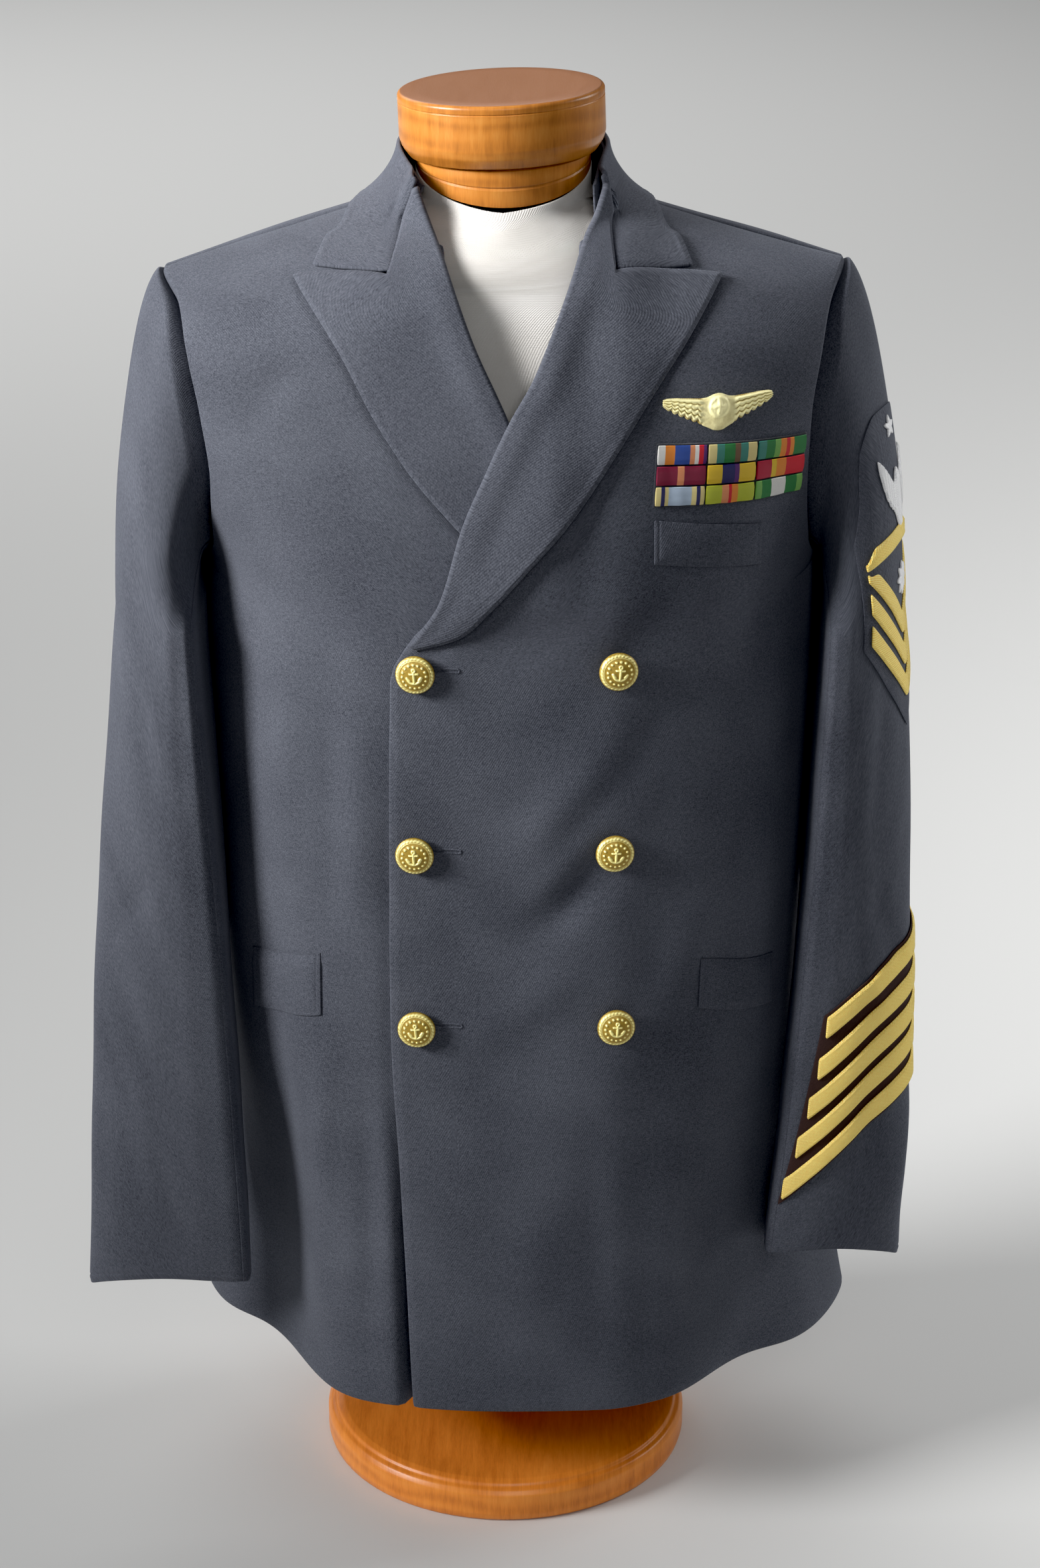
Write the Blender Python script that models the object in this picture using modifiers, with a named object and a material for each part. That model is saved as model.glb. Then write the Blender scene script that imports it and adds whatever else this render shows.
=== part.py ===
# Naval dress jacket on a limbless dress form.
# Double-breasted, with peak lapels, six gilt buttons, breast and hip welts and badges.
# Metres, +Z up, origin at the centre of the base's underside. The front faces -Y and the
# wearer's left is +X. Each cloth piece is a thin wall lofted over one body surface.

import functools
import math

import bmesh
import bpy
from mathutils import Matrix, Vector
from mathutils.bvhtree import BVHTree

COLLECTION = "naval_dress_jacket"

# ---- driving sizes ----

WALL = 0.0016            # thickness of the wool panels
SEAM = 0.0004            # gap between two pieces along a seam
LAYER = 0.0030           # one cloth layer over another: wall and clearance
CLEAR = 0.0005           # a badge above the cloth it is sewn to
RANK_LIFT = 0.0009       # backing of the rank badge above the sleeve
STRIPE_LIFT = 0.0014     # backing of the service stripes, over the front crease
BACKING = 0.0008         # thickness of a badge's backing
THREAD = 0.0012          # thickness of gold or silver work
THREAD_GAP = 0.0007      # gold or silver work above the rank badge's backing
STRIPE_GAP = 0.0010      # service stripes above theirs
PATCH = 0.0012           # thickness of a welt or a ribbon
HOLDER = 0.0010          # thickness of the bar that holds the ribbons
REST = 0.0004            # shoulder cloth above the form that carries it

NECK_X = 0.0700          # shoulder seam: inner end beside the neck
NECK_Z = 0.8130
SHOULDER_X = 0.1970      # shoulder seam: outer end at the sleeve head
SLOPE_LEFT = 0.280       # fall of the seam for each unit outward
SLOPE_RIGHT = 0.325
SHOULDER_ROUND = 0.058   # drop in which the shoulder turns from level to upright
UNDERARM_Z = 0.600
HEM_Z = 0.093
HEM_RISE = 0.010         # the hem at the side seams above the hem in front

FRONT_COLUMNS = 14       # faces across a front, from its edge to the side seam
BACK_COLUMNS = 8         # faces across half of the back
SKIRT_ROWS = 9           # rows from the hem to the underarm
ARMHOLE_ROWS = 10        # rows from the underarm to the shoulder seam
CAP_RINGS = 5            # sleeve rings from the armhole to the upper arm
ARM_RINGS = 8            # sleeve rings from the upper arm to the cuff

# Level sections of the jacket: half widths, depths, the two powers of the curve, and how far
# the widest place of each side lies behind the middle.
BODY = [
    dict(z=0.09, left=0.2220, right=0.1910, front=0.1290, back=0.1220, side=2.40, power=1.20,
         apex=0.032),
    dict(z=0.16, left=0.2070, right=0.1810, front=0.1310, back=0.1240, side=2.45, power=1.32,
         apex=0.030),
    dict(z=0.25, left=0.1840, right=0.1716, front=0.1300, back=0.1220, side=2.80, power=1.85,
         apex=0.030),
    dict(z=0.35, left=0.1826, right=0.1741, front=0.1270, back=0.1140, side=3.20, power=2.20,
         apex=0.034),
    dict(z=0.44, left=0.1862, right=0.1760, front=0.1260, back=0.1100, side=3.20, power=2.20,
         apex=0.036),
    dict(z=0.52, left=0.1872, right=0.1779, front=0.1270, back=0.1130, side=2.95, power=2.20,
         apex=0.036),
    dict(z=0.56, left=0.1872, right=0.1790, front=0.1270, back=0.1150, side=2.80, power=2.18,
         apex=0.035),
    dict(z=0.60, left=0.1855, right=0.1775, front=0.1270, back=0.1170, side=2.65, power=2.15,
         apex=0.028),
    dict(z=0.68, left=0.1980, right=0.1960, front=0.1210, back=0.1160, side=2.60, power=2.20,
         apex=0.004),
    dict(z=0.74, left=0.2060, right=0.2050, front=0.1060, back=0.1030, side=2.60, power=2.20,
         apex=0.000),
    dict(z=0.78, left=0.2100, right=0.2090, front=0.0880, back=0.0900, side=2.55, power=2.20,
         apex=0.000),
    dict(z=0.84, left=0.2120, right=0.2120, front=0.0600, back=0.0760, side=2.50, power=2.20,
         apex=0.000),
]

# Soft folds that run up from the hem of the front: place, half width, depth and top.
SKIRT_FOLDS = [
    dict(x=-0.130, wide=0.018, deep=0.030, top=0.300),
    dict(x=0.150, wide=0.032, deep=0.022, top=0.280),
]

# Cone of cloth that rises round the neck, under the collar and the lapel tops.
NECK_WRAP = [
    dict(z=0.760, radius=0.0780),
    dict(z=0.800, radius=0.0715),
    dict(z=0.815, radius=0.0672),
    dict(z=0.845, radius=0.0600),
]

# Armhole edges from the underarm to the shoulder seam: distance from the middle.
ARMHOLE_LEFT = [
    dict(z=0.6000, x=0.1855),
    dict(z=0.6200, x=0.1795),
    dict(z=0.6500, x=0.1775),
    dict(z=0.7000, x=0.1790),
    dict(z=0.7400, x=0.1860),
    dict(z=0.7600, x=0.1900),
    dict(z=0.7774, x=0.1970),
]
ARMHOLE_RIGHT = [
    dict(z=0.6000, x=0.1775),
    dict(z=0.6200, x=0.1710),
    dict(z=0.6600, x=0.1690),
    dict(z=0.7000, x=0.1720),
    dict(z=0.7400, x=0.1785),
    dict(z=0.7593, x=0.1823),
    dict(z=0.7717, x=0.1970),
]

# Front edges, which become the lapels' fold lines above the top buttons.
FOLD_LEFT = [
    dict(z=0.0930, x=-0.0545),
    dict(z=0.2500, x=-0.0605),
    dict(z=0.3550, x=-0.0650),
    dict(z=0.4700, x=-0.0640),
    dict(z=0.5660, x=-0.0620),
    dict(z=0.5845, x=-0.0534),
    dict(z=0.6126, x=-0.0355),
    dict(z=0.6560, x=-0.0225),
    dict(z=0.6866, x=-0.0092),
    dict(z=0.7122, x=0.0035),
    dict(z=0.7338, x=0.0163),
    dict(z=0.7691, x=0.0315),
    dict(z=0.8041, x=0.0449),
    dict(z=0.8290, x=0.0532),
]
FOLD_RIGHT = [
    dict(z=0.0930, x=0.0500),
    dict(z=0.5810, x=0.0500),
    dict(z=0.6110, x=0.0420),
    dict(z=0.6560, x=0.0240),
    dict(z=0.7122, x=0.0035),
    dict(z=0.7529, x=-0.0159),
    dict(z=0.7862, x=-0.0291),
    dict(z=0.8187, x=-0.0426),
    dict(z=0.8290, x=-0.0466),
]
FOLD_TOP_Z = 0.800       # the front panels leave the fold line here and follow the neck
BACK_NECK_Z = 0.8050     # middle of the back neck
BACK_NECK_ROWS = 3       # rows of the back between there and the shoulder seams

# Where the left front lies over the right one: the step down beside the wearer's left
# buttons, and the stretch that also covers the right lapel.
LAP = dict(step_from=0.060, step_to=0.095, lapel_low=0.590, lapel_full=0.620,
           lapel_from=0.024, lapel_to=0.050, lapel_fade=0.760, lapel_high=0.790)

# Lapel rows from the lower tip to the gorge: the fold point's height, a point part of the
# way across, the point on the outer edge, and how far the outer half bows upward.
LAPEL_LEFT = [
    dict(row=0.00, fold=0.5870, mid_x=-0.0500, mid_z=0.5858, edge_x=-0.0485, edge_z=0.5850, bow=0),
    dict(row=0.08, fold=0.5985, mid_x=-0.0340, mid_z=0.5955, edge_x=-0.0228, edge_z=0.5934, bow=0),
    dict(row=0.17, fold=0.6180, mid_x=-0.0180, mid_z=0.6145, edge_x=-0.0009, edge_z=0.6107, bow=0),
    dict(row=0.28, fold=0.6450, mid_x=-0.0030, mid_z=0.6385, edge_x=0.0208, edge_z=0.6314, bow=0),
    dict(row=0.42, fold=0.6800, mid_x=0.0180, mid_z=0.6710, edge_x=0.0467, edge_z=0.6613, bow=0),
    dict(row=0.56, fold=0.7120, mid_x=0.0330, mid_z=0.7035, edge_x=0.0619, edge_z=0.6942, bow=0),
    dict(row=0.70, fold=0.7480, mid_x=0.0520, mid_z=0.7380, edge_x=0.0833, edge_z=0.7285, bow=0),
    dict(row=0.84, fold=0.7820, mid_x=0.0630, mid_z=0.7650, edge_x=0.1022, edge_z=0.7556, bow=0),
    dict(row=1.00, fold=0.8280, mid_x=0.0602, mid_z=0.7876, edge_x=0.1203, edge_z=0.7800,
         bow=0.003),
]
LAPEL_RIGHT = [
    dict(row=0.00, fold=0.6500, mid_x=0.0130, mid_z=0.6400, edge_x=0.0000, edge_z=0.6280, bow=0),
    dict(row=0.20, fold=0.6760, mid_x=-0.0040, mid_z=0.6660, edge_x=-0.0254, edge_z=0.6553, bow=0),
    dict(row=0.42, fold=0.7110, mid_x=-0.0220, mid_z=0.6965, edge_x=-0.0483, edge_z=0.6818, bow=0),
    dict(row=0.64, fold=0.7480, mid_x=-0.0410, mid_z=0.7305, edge_x=-0.0697, edge_z=0.7130, bow=0),
    dict(row=0.82, fold=0.7820, mid_x=-0.0570, mid_z=0.7640, edge_x=-0.0912, edge_z=0.7507, bow=0),
    dict(row=1.00, fold=0.8280, mid_x=-0.0628, mid_z=0.7868, edge_x=-0.1155, edge_z=0.7812,
         bow=0.003),
]
LAPEL_COLUMNS = 6
LAPEL_ROWS = 12
NECK_LIFT = dict(more=0.0017, low=0.755, full=0.785, near=0.065, far=0.095)

# Collar from a front end, at the gorge, round to the middle of the back: the rolled top
# edge, a point half way down the fall, and the height and distance of the outer edge.
COLLAR = [
    dict(turn=0.00, roll_x=0.0502, roll_y=-0.0400, roll_z=0.8305, mid_x=0.0628, mid_y=-0.0700,
         mid_z=0.7895, edge_x=0.0998, edge_z=0.7874),
    dict(turn=0.08, roll_x=0.0520, roll_y=-0.0340, roll_z=0.8325, mid_x=0.0655, mid_y=-0.0560,
         mid_z=0.7985, edge_x=0.0970, edge_z=0.7950),
    dict(turn=0.20, roll_x=0.0560, roll_y=-0.0200, roll_z=0.8370, mid_x=0.0690, mid_y=-0.0300,
         mid_z=0.8160, edge_x=0.0900, edge_z=0.8022),
    dict(turn=0.40, roll_x=0.0605, roll_y=0.0040, roll_z=0.8425, mid_x=0.0685, mid_y=0.0050,
         mid_z=0.8240, edge_x=0.0850, edge_z=0.8081),
    dict(turn=0.60, roll_x=0.0525, roll_y=0.0340, roll_z=0.8470, mid_x=0.0590, mid_y=0.0440,
         mid_z=0.8270, edge_x=0.0690, edge_z=0.7990),
    dict(turn=0.80, roll_x=0.0310, roll_y=0.0550, roll_z=0.8500, mid_x=0.0345, mid_y=0.0660,
         mid_z=0.8270, edge_x=0.0390, edge_z=0.7950),
    dict(turn=1.00, roll_x=0.0000, roll_y=0.0620, roll_z=0.8510, mid_x=0.0000, mid_y=0.0730,
         mid_z=0.8270, edge_x=0.0000, edge_z=0.7930),
]
COLLAR_SHIFT = 0.0033    # the rolled front ends lie this far towards the wearer's left
COLLAR_FRONT = 0.1       # up to this turn the fall lies flat on the front, like the lapel
COLLAR_COLUMNS = 12      # from a front end to the middle of the back
COLLAR_ROWS = 5
STAND_INSET = 0.0026     # the stand inside the fall
STAND_DROP = 0.0040      # the stand's top below the rolled edge
STAND_FOOT = [
    dict(turn=0.0, x=0.0520, y=-0.0420, z=0.8130),
    dict(turn=0.4, x=0.0620, y=0.0040, z=0.8175),
    dict(turn=0.7, x=0.0440, y=0.0480, z=0.8150),
    dict(turn=1.0, x=0.0000, y=0.0655, z=0.8130),
]

# Sleeves from the cuff to the upper arm: distances from the middle, and the section.
SLEEVE_LEFT = [
    dict(z=0.165, inner=0.1607, outer=0.2445, middle=-0.0640, half=0.0250),
    dict(z=0.200, inner=0.1636, outer=0.2453, middle=-0.0600, half=0.0300),
    dict(z=0.260, inner=0.1685, outer=0.2473, middle=-0.0530, half=0.0350),
    dict(z=0.340, inner=0.1743, outer=0.2460, middle=-0.0430, half=0.0420),
    dict(z=0.420, inner=0.1794, outer=0.2438, middle=-0.0340, half=0.0500),
    dict(z=0.500, inner=0.1828, outer=0.2412, middle=-0.0220, half=0.0600),
    dict(z=0.575, inner=0.1858, outer=0.2338, middle=-0.0110, half=0.0690),
]
SLEEVE_RIGHT = [
    dict(z=0.1415, inner=0.1583, outer=0.2592, middle=-0.0600, half=0.0240),
    dict(z=0.200, inner=0.1595, outer=0.2564, middle=-0.0560, half=0.0300),
    dict(z=0.260, inner=0.1616, outer=0.2537, middle=-0.0500, half=0.0350),
    dict(z=0.340, inner=0.1651, outer=0.2493, middle=-0.0430, half=0.0420),
    dict(z=0.420, inner=0.1686, outer=0.2431, middle=-0.0340, half=0.0500),
    dict(z=0.500, inner=0.1737, outer=0.2360, middle=-0.0220, half=0.0600),
    dict(z=0.575, inner=0.1774, outer=0.2290, middle=-0.0110, half=0.0690),
]
# Sleeve head: how far the cloth leaves the armhole level, how far it then hangs, each with
# what is added at the shoulder, and how much it droops, with what is added underneath.
CAP = dict(out=0.011, out_top=0.004, hang=0.046, hang_top=0.040, droop=0.35, droop_low=0.25)
CUFF_SLANT = 0.42        # rise of the cuff towards the front, for its depth
CUFF_REACH = 0.12        # height above the cuff where that rise has faded
ARM_POWER = 1.75         # section of a sleeve: 2 is an ellipse, less is flatter
RING_POINTS = 20
FOREARM_SEAM = 7         # ring points where the top sleeve meets the under sleeve
HINDARM_SEAM = 14
SLEEVE_SEAM = 0.0006     # gap along the two seams of a sleeve

BUTTON_RADIUS = 0.0111
BUTTON_STEPS = 20        # faces round a button
# Profile of a button, from the middle of its dome to the end of its shank: share of the
# radius, and height above the cloth.
BUTTON_PROFILE = [
    dict(share=0.00, z=0.0082),
    dict(share=0.35, z=0.0079),
    dict(share=0.65, z=0.0069),
    dict(share=0.88, z=0.0052),
    dict(share=1.00, z=0.0037),
    dict(share=1.00, z=0.0026),
    dict(share=0.93, z=0.0021),
    dict(share=0.22, z=0.0019),
    dict(share=0.22, z=0.0000),
    dict(share=0.00, z=0.0000),
]
BUTTONS = [
    dict(x=-0.0485, z=0.5710),
    dict(x=0.0638, z=0.5716),
    dict(x=-0.0503, z=0.4608),
    dict(x=0.0631, z=0.4612),
    dict(x=-0.0504, z=0.3506),
    dict(x=0.0646, z=0.3515),
]

# Pocket welts: ends, lower and upper edge at the inner end, and slope.
WELTS = [
    dict(name="welt_breast", x0=0.0838, x1=0.1450, z0=0.6320, z1=0.6566, tilt=-0.175),
    dict(name="welt_hip_left", x0=0.1152, x1=0.1600, z0=0.3535, z1=0.3860, tilt=-0.36),
    dict(name="welt_hip_right", x0=-0.1076, x1=-0.1520, z0=0.3502, z1=0.3895, tilt=0.36),
]

RIBBON = dict(x=0.0828, z=0.6648, wide=0.0282, high=0.0114, gap=0.0004, tilt=-0.053)
HOLDER_COLOUR = (0.10, 0.10, 0.12)
RIBBON_COLOURS = [
    [(0.75, 0.25, 0.05), (0.55, 0.55, 0.40), (0.10, 0.40, 0.12)],
    [(0.25, 0.02, 0.06), (0.75, 0.60, 0.05), (0.60, 0.03, 0.03)],
    [(0.30, 0.40, 0.70), (0.50, 0.55, 0.08), (0.10, 0.38, 0.14)],
]

# Spread-wing badge: half outline from its middle to a tip.
WINGS = [
    dict(out=0.0000, top=0.0078, bottom=-0.0112, thick=0.0034),
    dict(out=0.0045, top=0.0070, bottom=-0.0100, thick=0.0032),
    dict(out=0.0080, top=0.0042, bottom=-0.0062, thick=0.0020),
    dict(out=0.0160, top=0.0048, bottom=-0.0050, thick=0.0018),
    dict(out=0.0240, top=0.0056, bottom=-0.0015, thick=0.0015),
    dict(out=0.0302, top=0.0052, bottom=0.0024, thick=0.0012),
]
WINGS_PLACE = dict(x=0.1184, z=0.7166)

GOLD = dict(colour=(0.83, 0.60, 0.16), roughness=0.32, metallic=1.0)
WOOL = dict(colour=(0.035, 0.042, 0.058), roughness=0.92, metallic=0.0)
JERSEY = dict(colour=(0.83, 0.81, 0.77), roughness=0.95, metallic=0.0)
WOOD = dict(colour=(0.46, 0.16, 0.035), roughness=0.30, metallic=0.0)
GOLD_THREAD = dict(colour=(0.80, 0.55, 0.12), roughness=0.55, metallic=0.2)
SILVER_THREAD = dict(colour=(0.75, 0.76, 0.80), roughness=0.55, metallic=0.2)

# Service stripes on the left sleeve: the front end's angle round the arm, the height of its
# lower corner, and how steeply it climbs round the arm.
STRIPES = [
    dict(angle=118.5, low=0.3240, steep=0.82),
    dict(angle=122.5, low=0.2970, steep=0.87),
    dict(angle=127.5, low=0.2712, steep=0.91),
    dict(angle=133.0, low=0.2450, steep=0.96),
    dict(angle=139.0, low=0.2172, steep=1.00),
]
STRIPE_SIDE_SLOPE = 0.5  # climb on the outer side of the arm, where it is 1 in front
STRIPE_LENGTH = 0.1150   # round the arm
STRIPE_HIGH = 0.0160
STRIPE_MARGIN = 0.0040   # backing beyond the stripes
STRIPE_COLUMNS = 12

# Rank badge on the left sleeve, centred on its outer side: a spread bird over an arc and
# three chevrons. Sizes are across and up from the badge's middle.
RANK = dict(angle=28.0, z=0.6000, half=0.0425, slope=1.00, strip=0.0118, pitch=0.0188,
            top=0.0170, arc_foot=0.0118, arc_rise=0.0080, arc_strip=0.0094, taper=0.0100,
            end_share=0.35, columns=12)
RANK_BACKING = [
    dict(out=0.0000, low=-0.0920, high=0.0980),
    dict(out=0.0125, low=-0.0777, high=0.0970),
    dict(out=0.0300, low=-0.0566, high=0.0800),
    dict(out=0.0400, low=-0.0445, high=0.0450),
    dict(out=0.0485, low=-0.0343, high=0.0260),
]
RANK_BIRD = [
    dict(out=0.0000, top=0.0600, bottom=0.0305),
    dict(out=0.0040, top=0.0585, bottom=0.0305),
    dict(out=0.0080, top=0.0560, bottom=0.0330),
    dict(out=0.0140, top=0.0640, bottom=0.0400),
    dict(out=0.0205, top=0.0710, bottom=0.0610),
]
RANK_STAR = dict(up=0.0865, radius=0.0064, waist=0.0028)
RANK_MARK = dict(up=-0.0030, radius=0.0100, points=16)

# Form: sections inside the jacket, and the wooden neck, post and base.
FORM = [
    dict(z=0.150, half=0.1400, front=0.1080, back=0.1000, side=2.2),
    dict(z=0.200, half=0.1450, front=0.1150, back=0.1060, side=2.2),
    dict(z=0.300, half=0.1430, front=0.1160, back=0.1030, side=2.2),
    dict(z=0.420, half=0.1380, front=0.1130, back=0.0960, side=2.2),
    dict(z=0.540, half=0.1480, front=0.1150, back=0.1010, side=2.2),
    dict(z=0.640, half=0.1560, front=0.1130, back=0.1040, side=2.3),
    dict(z=0.720, half=0.1580, front=0.0980, back=0.0950, side=2.4),
    dict(z=0.770, half=0.1600, front=0.0790, back=0.0800, side=2.4),
    dict(z=0.840, half=0.1600, front=0.0500, back=0.0600, side=2.4),
]
FORM_RINGS = [0.150, 0.165, 0.20, 0.26, 0.34, 0.42, 0.50, 0.58, 0.64, 0.69, 0.72, 0.745, 0.762,
              0.775, 0.786, 0.796, 0.804, 0.811]
FORM_POINTS = 44
FORM_ROUND = 0.050       # drop in which the form's shoulders turn from level to upright
FORM_POWER = 2.2         # depth curve of the form's sections
SLANT_FROM_Z = 0.796     # the rings tilt from level to the slant of the neck's top
SLANT_TO_Z = 0.815
NECK_RADIUS = 0.0500
NECK_TOP_Z = 0.8255      # middle of the slanted top of the covered neck
NECK_TOP_SLANT = 0.20    # fall of that top towards the front
BLOCK_TILT = math.radians(2.2)
BLOCK_BOTTOM_Z = 0.8385
BLOCK_RADIUS = 0.0585
PLUG_INSET = 0.0004      # the wooden neck inside the covered one
BASE_RADIUS = 0.1156
POST_RADIUS = 0.0160
GAP = 0.0003             # between two parts that stand on each other
WOOD_STEPS = 48          # faces round a turned part
# Turned profiles from the top down: added to the radius, and height. The block's and the
# base's start from their rims, and the post's from its shaft.
BLOCK_PROFILE = [
    dict(out=-0.0020, z=0.8750),
    dict(out=0.0000, z=0.8730),
    dict(out=0.0000, z=0.8680),
    dict(out=0.0000, z=0.8490),
    dict(out=-0.0015, z=0.8445),
    dict(out=-0.0055, z=0.8385),
]
POST_PROFILE = [
    dict(out=0.0240, z=0.1497),
    dict(out=0.0240, z=0.1417),
    dict(out=0.0040, z=0.1377),
    dict(out=0.0000, z=0.1277),
    dict(out=0.0000, z=0.0420),
    dict(out=0.0100, z=0.0300),
    dict(out=0.0100, z=0.0263),
]
BASE_PROFILE = [
    dict(out=-0.0100, z=0.0260),
    dict(out=-0.0060, z=0.0250),
    dict(out=-0.0050, z=0.0232),
    dict(out=-0.0022, z=0.0222),
    dict(out=0.0000, z=0.0188),
    dict(out=0.0000, z=0.0060),
    dict(out=-0.0012, z=0.0018),
    dict(out=-0.0030, z=0.0000),
]


# ---- tables and curves ----

def lookup(table, column, at, key="z"):
    # Smooth value of a column between the table's rows, with no overshoot.
    keys = [row[key] for row in table]
    values = [row[column] for row in table]
    if at <= keys[0]:
        return values[0]
    if at >= keys[-1]:
        return values[-1]
    i = max(k for k in range(len(keys) - 1) if keys[k] <= at)
    steps = [(values[k + 1] - values[k]) / (keys[k + 1] - keys[k]) for k in range(len(keys) - 1)]

    def slope(k):
        if k == 0 or k == len(keys) - 1:
            return steps[min(k, len(steps) - 1)]
        before, after = steps[k - 1], steps[k]
        return 0.0 if before * after <= 0 else 2 * before * after / (before + after)

    span = keys[i + 1] - keys[i]
    t = (at - keys[i]) / span
    return ((1 + 2 * t) * (1 - t) ** 2 * values[i] + t * (1 - t) ** 2 * span * slope(i)
            + t * t * (3 - 2 * t) * values[i + 1] + t * t * (t - 1) * span * slope(i + 1))


def mix(a, b, t):
    return a + (b - a) * t


def ease(low, high, at):
    t = min(1.0, max(0.0, (at - low) / (high - low)))
    return t * t * (3 - 2 * t)


def round_over(t):
    # Quarter circle: 0 at the ridge, 1 once the surface is upright.
    t = min(1.0, max(0.0, t))
    return math.sqrt(1 - (1 - t) ** 2)


def soft_max(a, b, blend):
    return 0.5 * (a + b + math.sqrt((a - b) ** 2 + blend ** 2))


# ---- the body surface ----

def shoulder_slope(x):
    return mix(SLOPE_RIGHT, SLOPE_LEFT, ease(-NECK_X, NECK_X, x))


def shoulder_z(x):
    return NECK_Z - shoulder_slope(x) * (abs(x) - NECK_X)


@functools.lru_cache(maxsize=None)
def section(z):
    names = ("left", "right", "front", "back", "side", "power", "apex")
    row = {name: lookup(BODY, name, z) for name in names}
    row["wrap"] = lookup(NECK_WRAP, "radius", z)
    return row


def body_x(angle, z):
    row = section(round(z, 6))
    c = math.cos(angle)
    half = row["left"] if c >= 0 else row["right"]
    return math.copysign(half * abs(c) ** (2 / row["side"]), c)


def skirt_fold(x, z):
    depth = 0.0
    for fold in SKIRT_FOLDS:
        rise = 1 - ease(HEM_Z, fold["top"], z)
        depth += fold["deep"] * rise * math.exp(-((x - fold["x"]) / fold["wide"]) ** 2)
    return depth


def body_point(angle, z):
    # Angle 0 is the wearer's left side, -90 degrees the middle of the front.
    row = section(round(z, 6))
    x = body_x(angle, z)
    s = math.sin(angle)
    reach = (row["front"] if s < 0 else row["back"]) * abs(s) ** (2 / row["power"])
    reach -= skirt_fold(x, z) if s < 0 else 0.0
    reach *= round_over((shoulder_z(x) - z) / SHOULDER_ROUND)
    inside = row["wrap"] - abs(x)
    if inside > 0:
        blend = 0.008 * ease(0.0, 0.012, inside) * ease(0.70, 0.77, z)
        reach = soft_max(reach, math.sqrt(row["wrap"] ** 2 - x * x) * ease(0.70, 0.78, z), blend)
    return Vector((x, math.copysign(reach, s) + row["apex"] * (1 - abs(s)), z))


def body_normal(angle, z):
    turn, lift = 0.02, 0.0005
    across = body_point(angle + turn, z) - body_point(angle - turn, z)
    upward = body_point(angle, z + lift) - body_point(angle, z - lift)
    return across.cross(upward).normalized()


def ridge_normal(x):
    return Vector((math.copysign(shoulder_slope(x), x), 0, 1)).normalized()


def angle_of(x, z, front=True):
    row = section(round(z, 6))
    half = row["left"] if x >= 0 else row["right"]
    c = math.copysign(min(1.0, abs(x) / half) ** (row["side"] / 2), x)
    return -math.acos(c) if front else math.acos(c)


def over_body(angle, z, lift):
    # A point above the body surface; on the shoulder seam it is straight off the ridge.
    point = body_point(angle, z)
    if shoulder_z(point.x) - z < 1e-5 and abs(point.x) > NECK_X - 1e-4:
        return point + ridge_normal(point.x) * lift
    return point + body_normal(angle, z) * lift


def on_front(x, z, lift):
    return over_body(angle_of(x, z), z, lift)


# ---- building ----

def make_material(name, finish):
    material = bpy.data.materials.new(name)
    material.use_nodes = True
    shader = material.node_tree.nodes["Principled BSDF"]
    shader.inputs["Base Color"].default_value = (*finish["colour"], 1.0)
    shader.inputs["Roughness"].default_value = finish["roughness"]
    shader.inputs["Metallic"].default_value = finish["metallic"]
    return material


def add_object(name, mesh_builder, finish):
    mesh = bpy.data.meshes.new(name)
    bmesh.ops.recalc_face_normals(mesh_builder, faces=mesh_builder.faces)
    mesh_builder.to_mesh(mesh)
    mesh_builder.free()
    obj = bpy.data.objects.new(name, mesh)
    bpy.data.collections[COLLECTION].objects.link(obj)
    mesh.materials.append(make_material(name, finish))
    mesh.shade_smooth()
    mesh.set_sharp_from_angle(angle=math.radians(40))
    return obj


def cloth_wall(name, outer, inner, finish):
    # Closed wall between two grids of points that have the same rows and columns.
    shape = bmesh.new()
    rows, columns = len(outer), len(outer[0])
    skins = [[[shape.verts.new(p) for p in row] for row in grid] for grid in (outer, inner)]
    for skin in skins:
        for i in range(rows - 1):
            for j in range(columns - 1):
                shape.faces.new((skin[i][j], skin[i][j + 1], skin[i + 1][j + 1], skin[i + 1][j]))
    rim = [(0, j) for j in range(columns - 1)]
    rim += [(i, columns - 1) for i in range(rows - 1)]
    rim += [(rows - 1, j) for j in range(columns - 1, 0, -1)]
    rim += [(i, 0) for i in range(rows - 1, 0, -1)]
    for (i, j), (k, m) in zip(rim, rim[1:] + rim[:1]):
        shape.faces.new((skins[0][i][j], skins[1][i][j], skins[1][k][m], skins[0][k][m]))
    return add_object(name, shape, finish)


def trim(grid, side, amount):
    # Draws one edge of a grid in along its rows or columns, to leave a seam gap.
    if side in ("first", "last"):
        for row in grid:
            edge, next_one = (0, 1) if side == "first" else (-1, -2)
            row[edge] = row[edge] + (row[next_one] - row[edge]).normalized() * amount
    else:
        edge, next_one = (0, 1) if side == "bottom" else (-1, -2)
        for j, point in enumerate(grid[edge]):
            grid[edge][j] = point + (grid[next_one][j] - point).normalized() * amount


def grid_normals(grid, closed):
    rows, columns = len(grid), len(grid[0])
    result = []
    for i in range(rows):
        line = []
        for j in range(columns):
            if closed:
                across = grid[i][(j + 1) % columns] - grid[i][j - 1]
            else:
                across = grid[i][min(j + 1, columns - 1)] - grid[i][max(j - 1, 0)]
            along = grid[min(i + 1, rows - 1)][j] - grid[max(i - 1, 0)][j]
            line.append(across.cross(along).normalized())
        result.append(line)
    return result


# ---- fronts and backs ----

def hem_z(angle):
    return HEM_Z + HEM_RISE * abs(math.cos(angle)) ** 2


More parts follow.
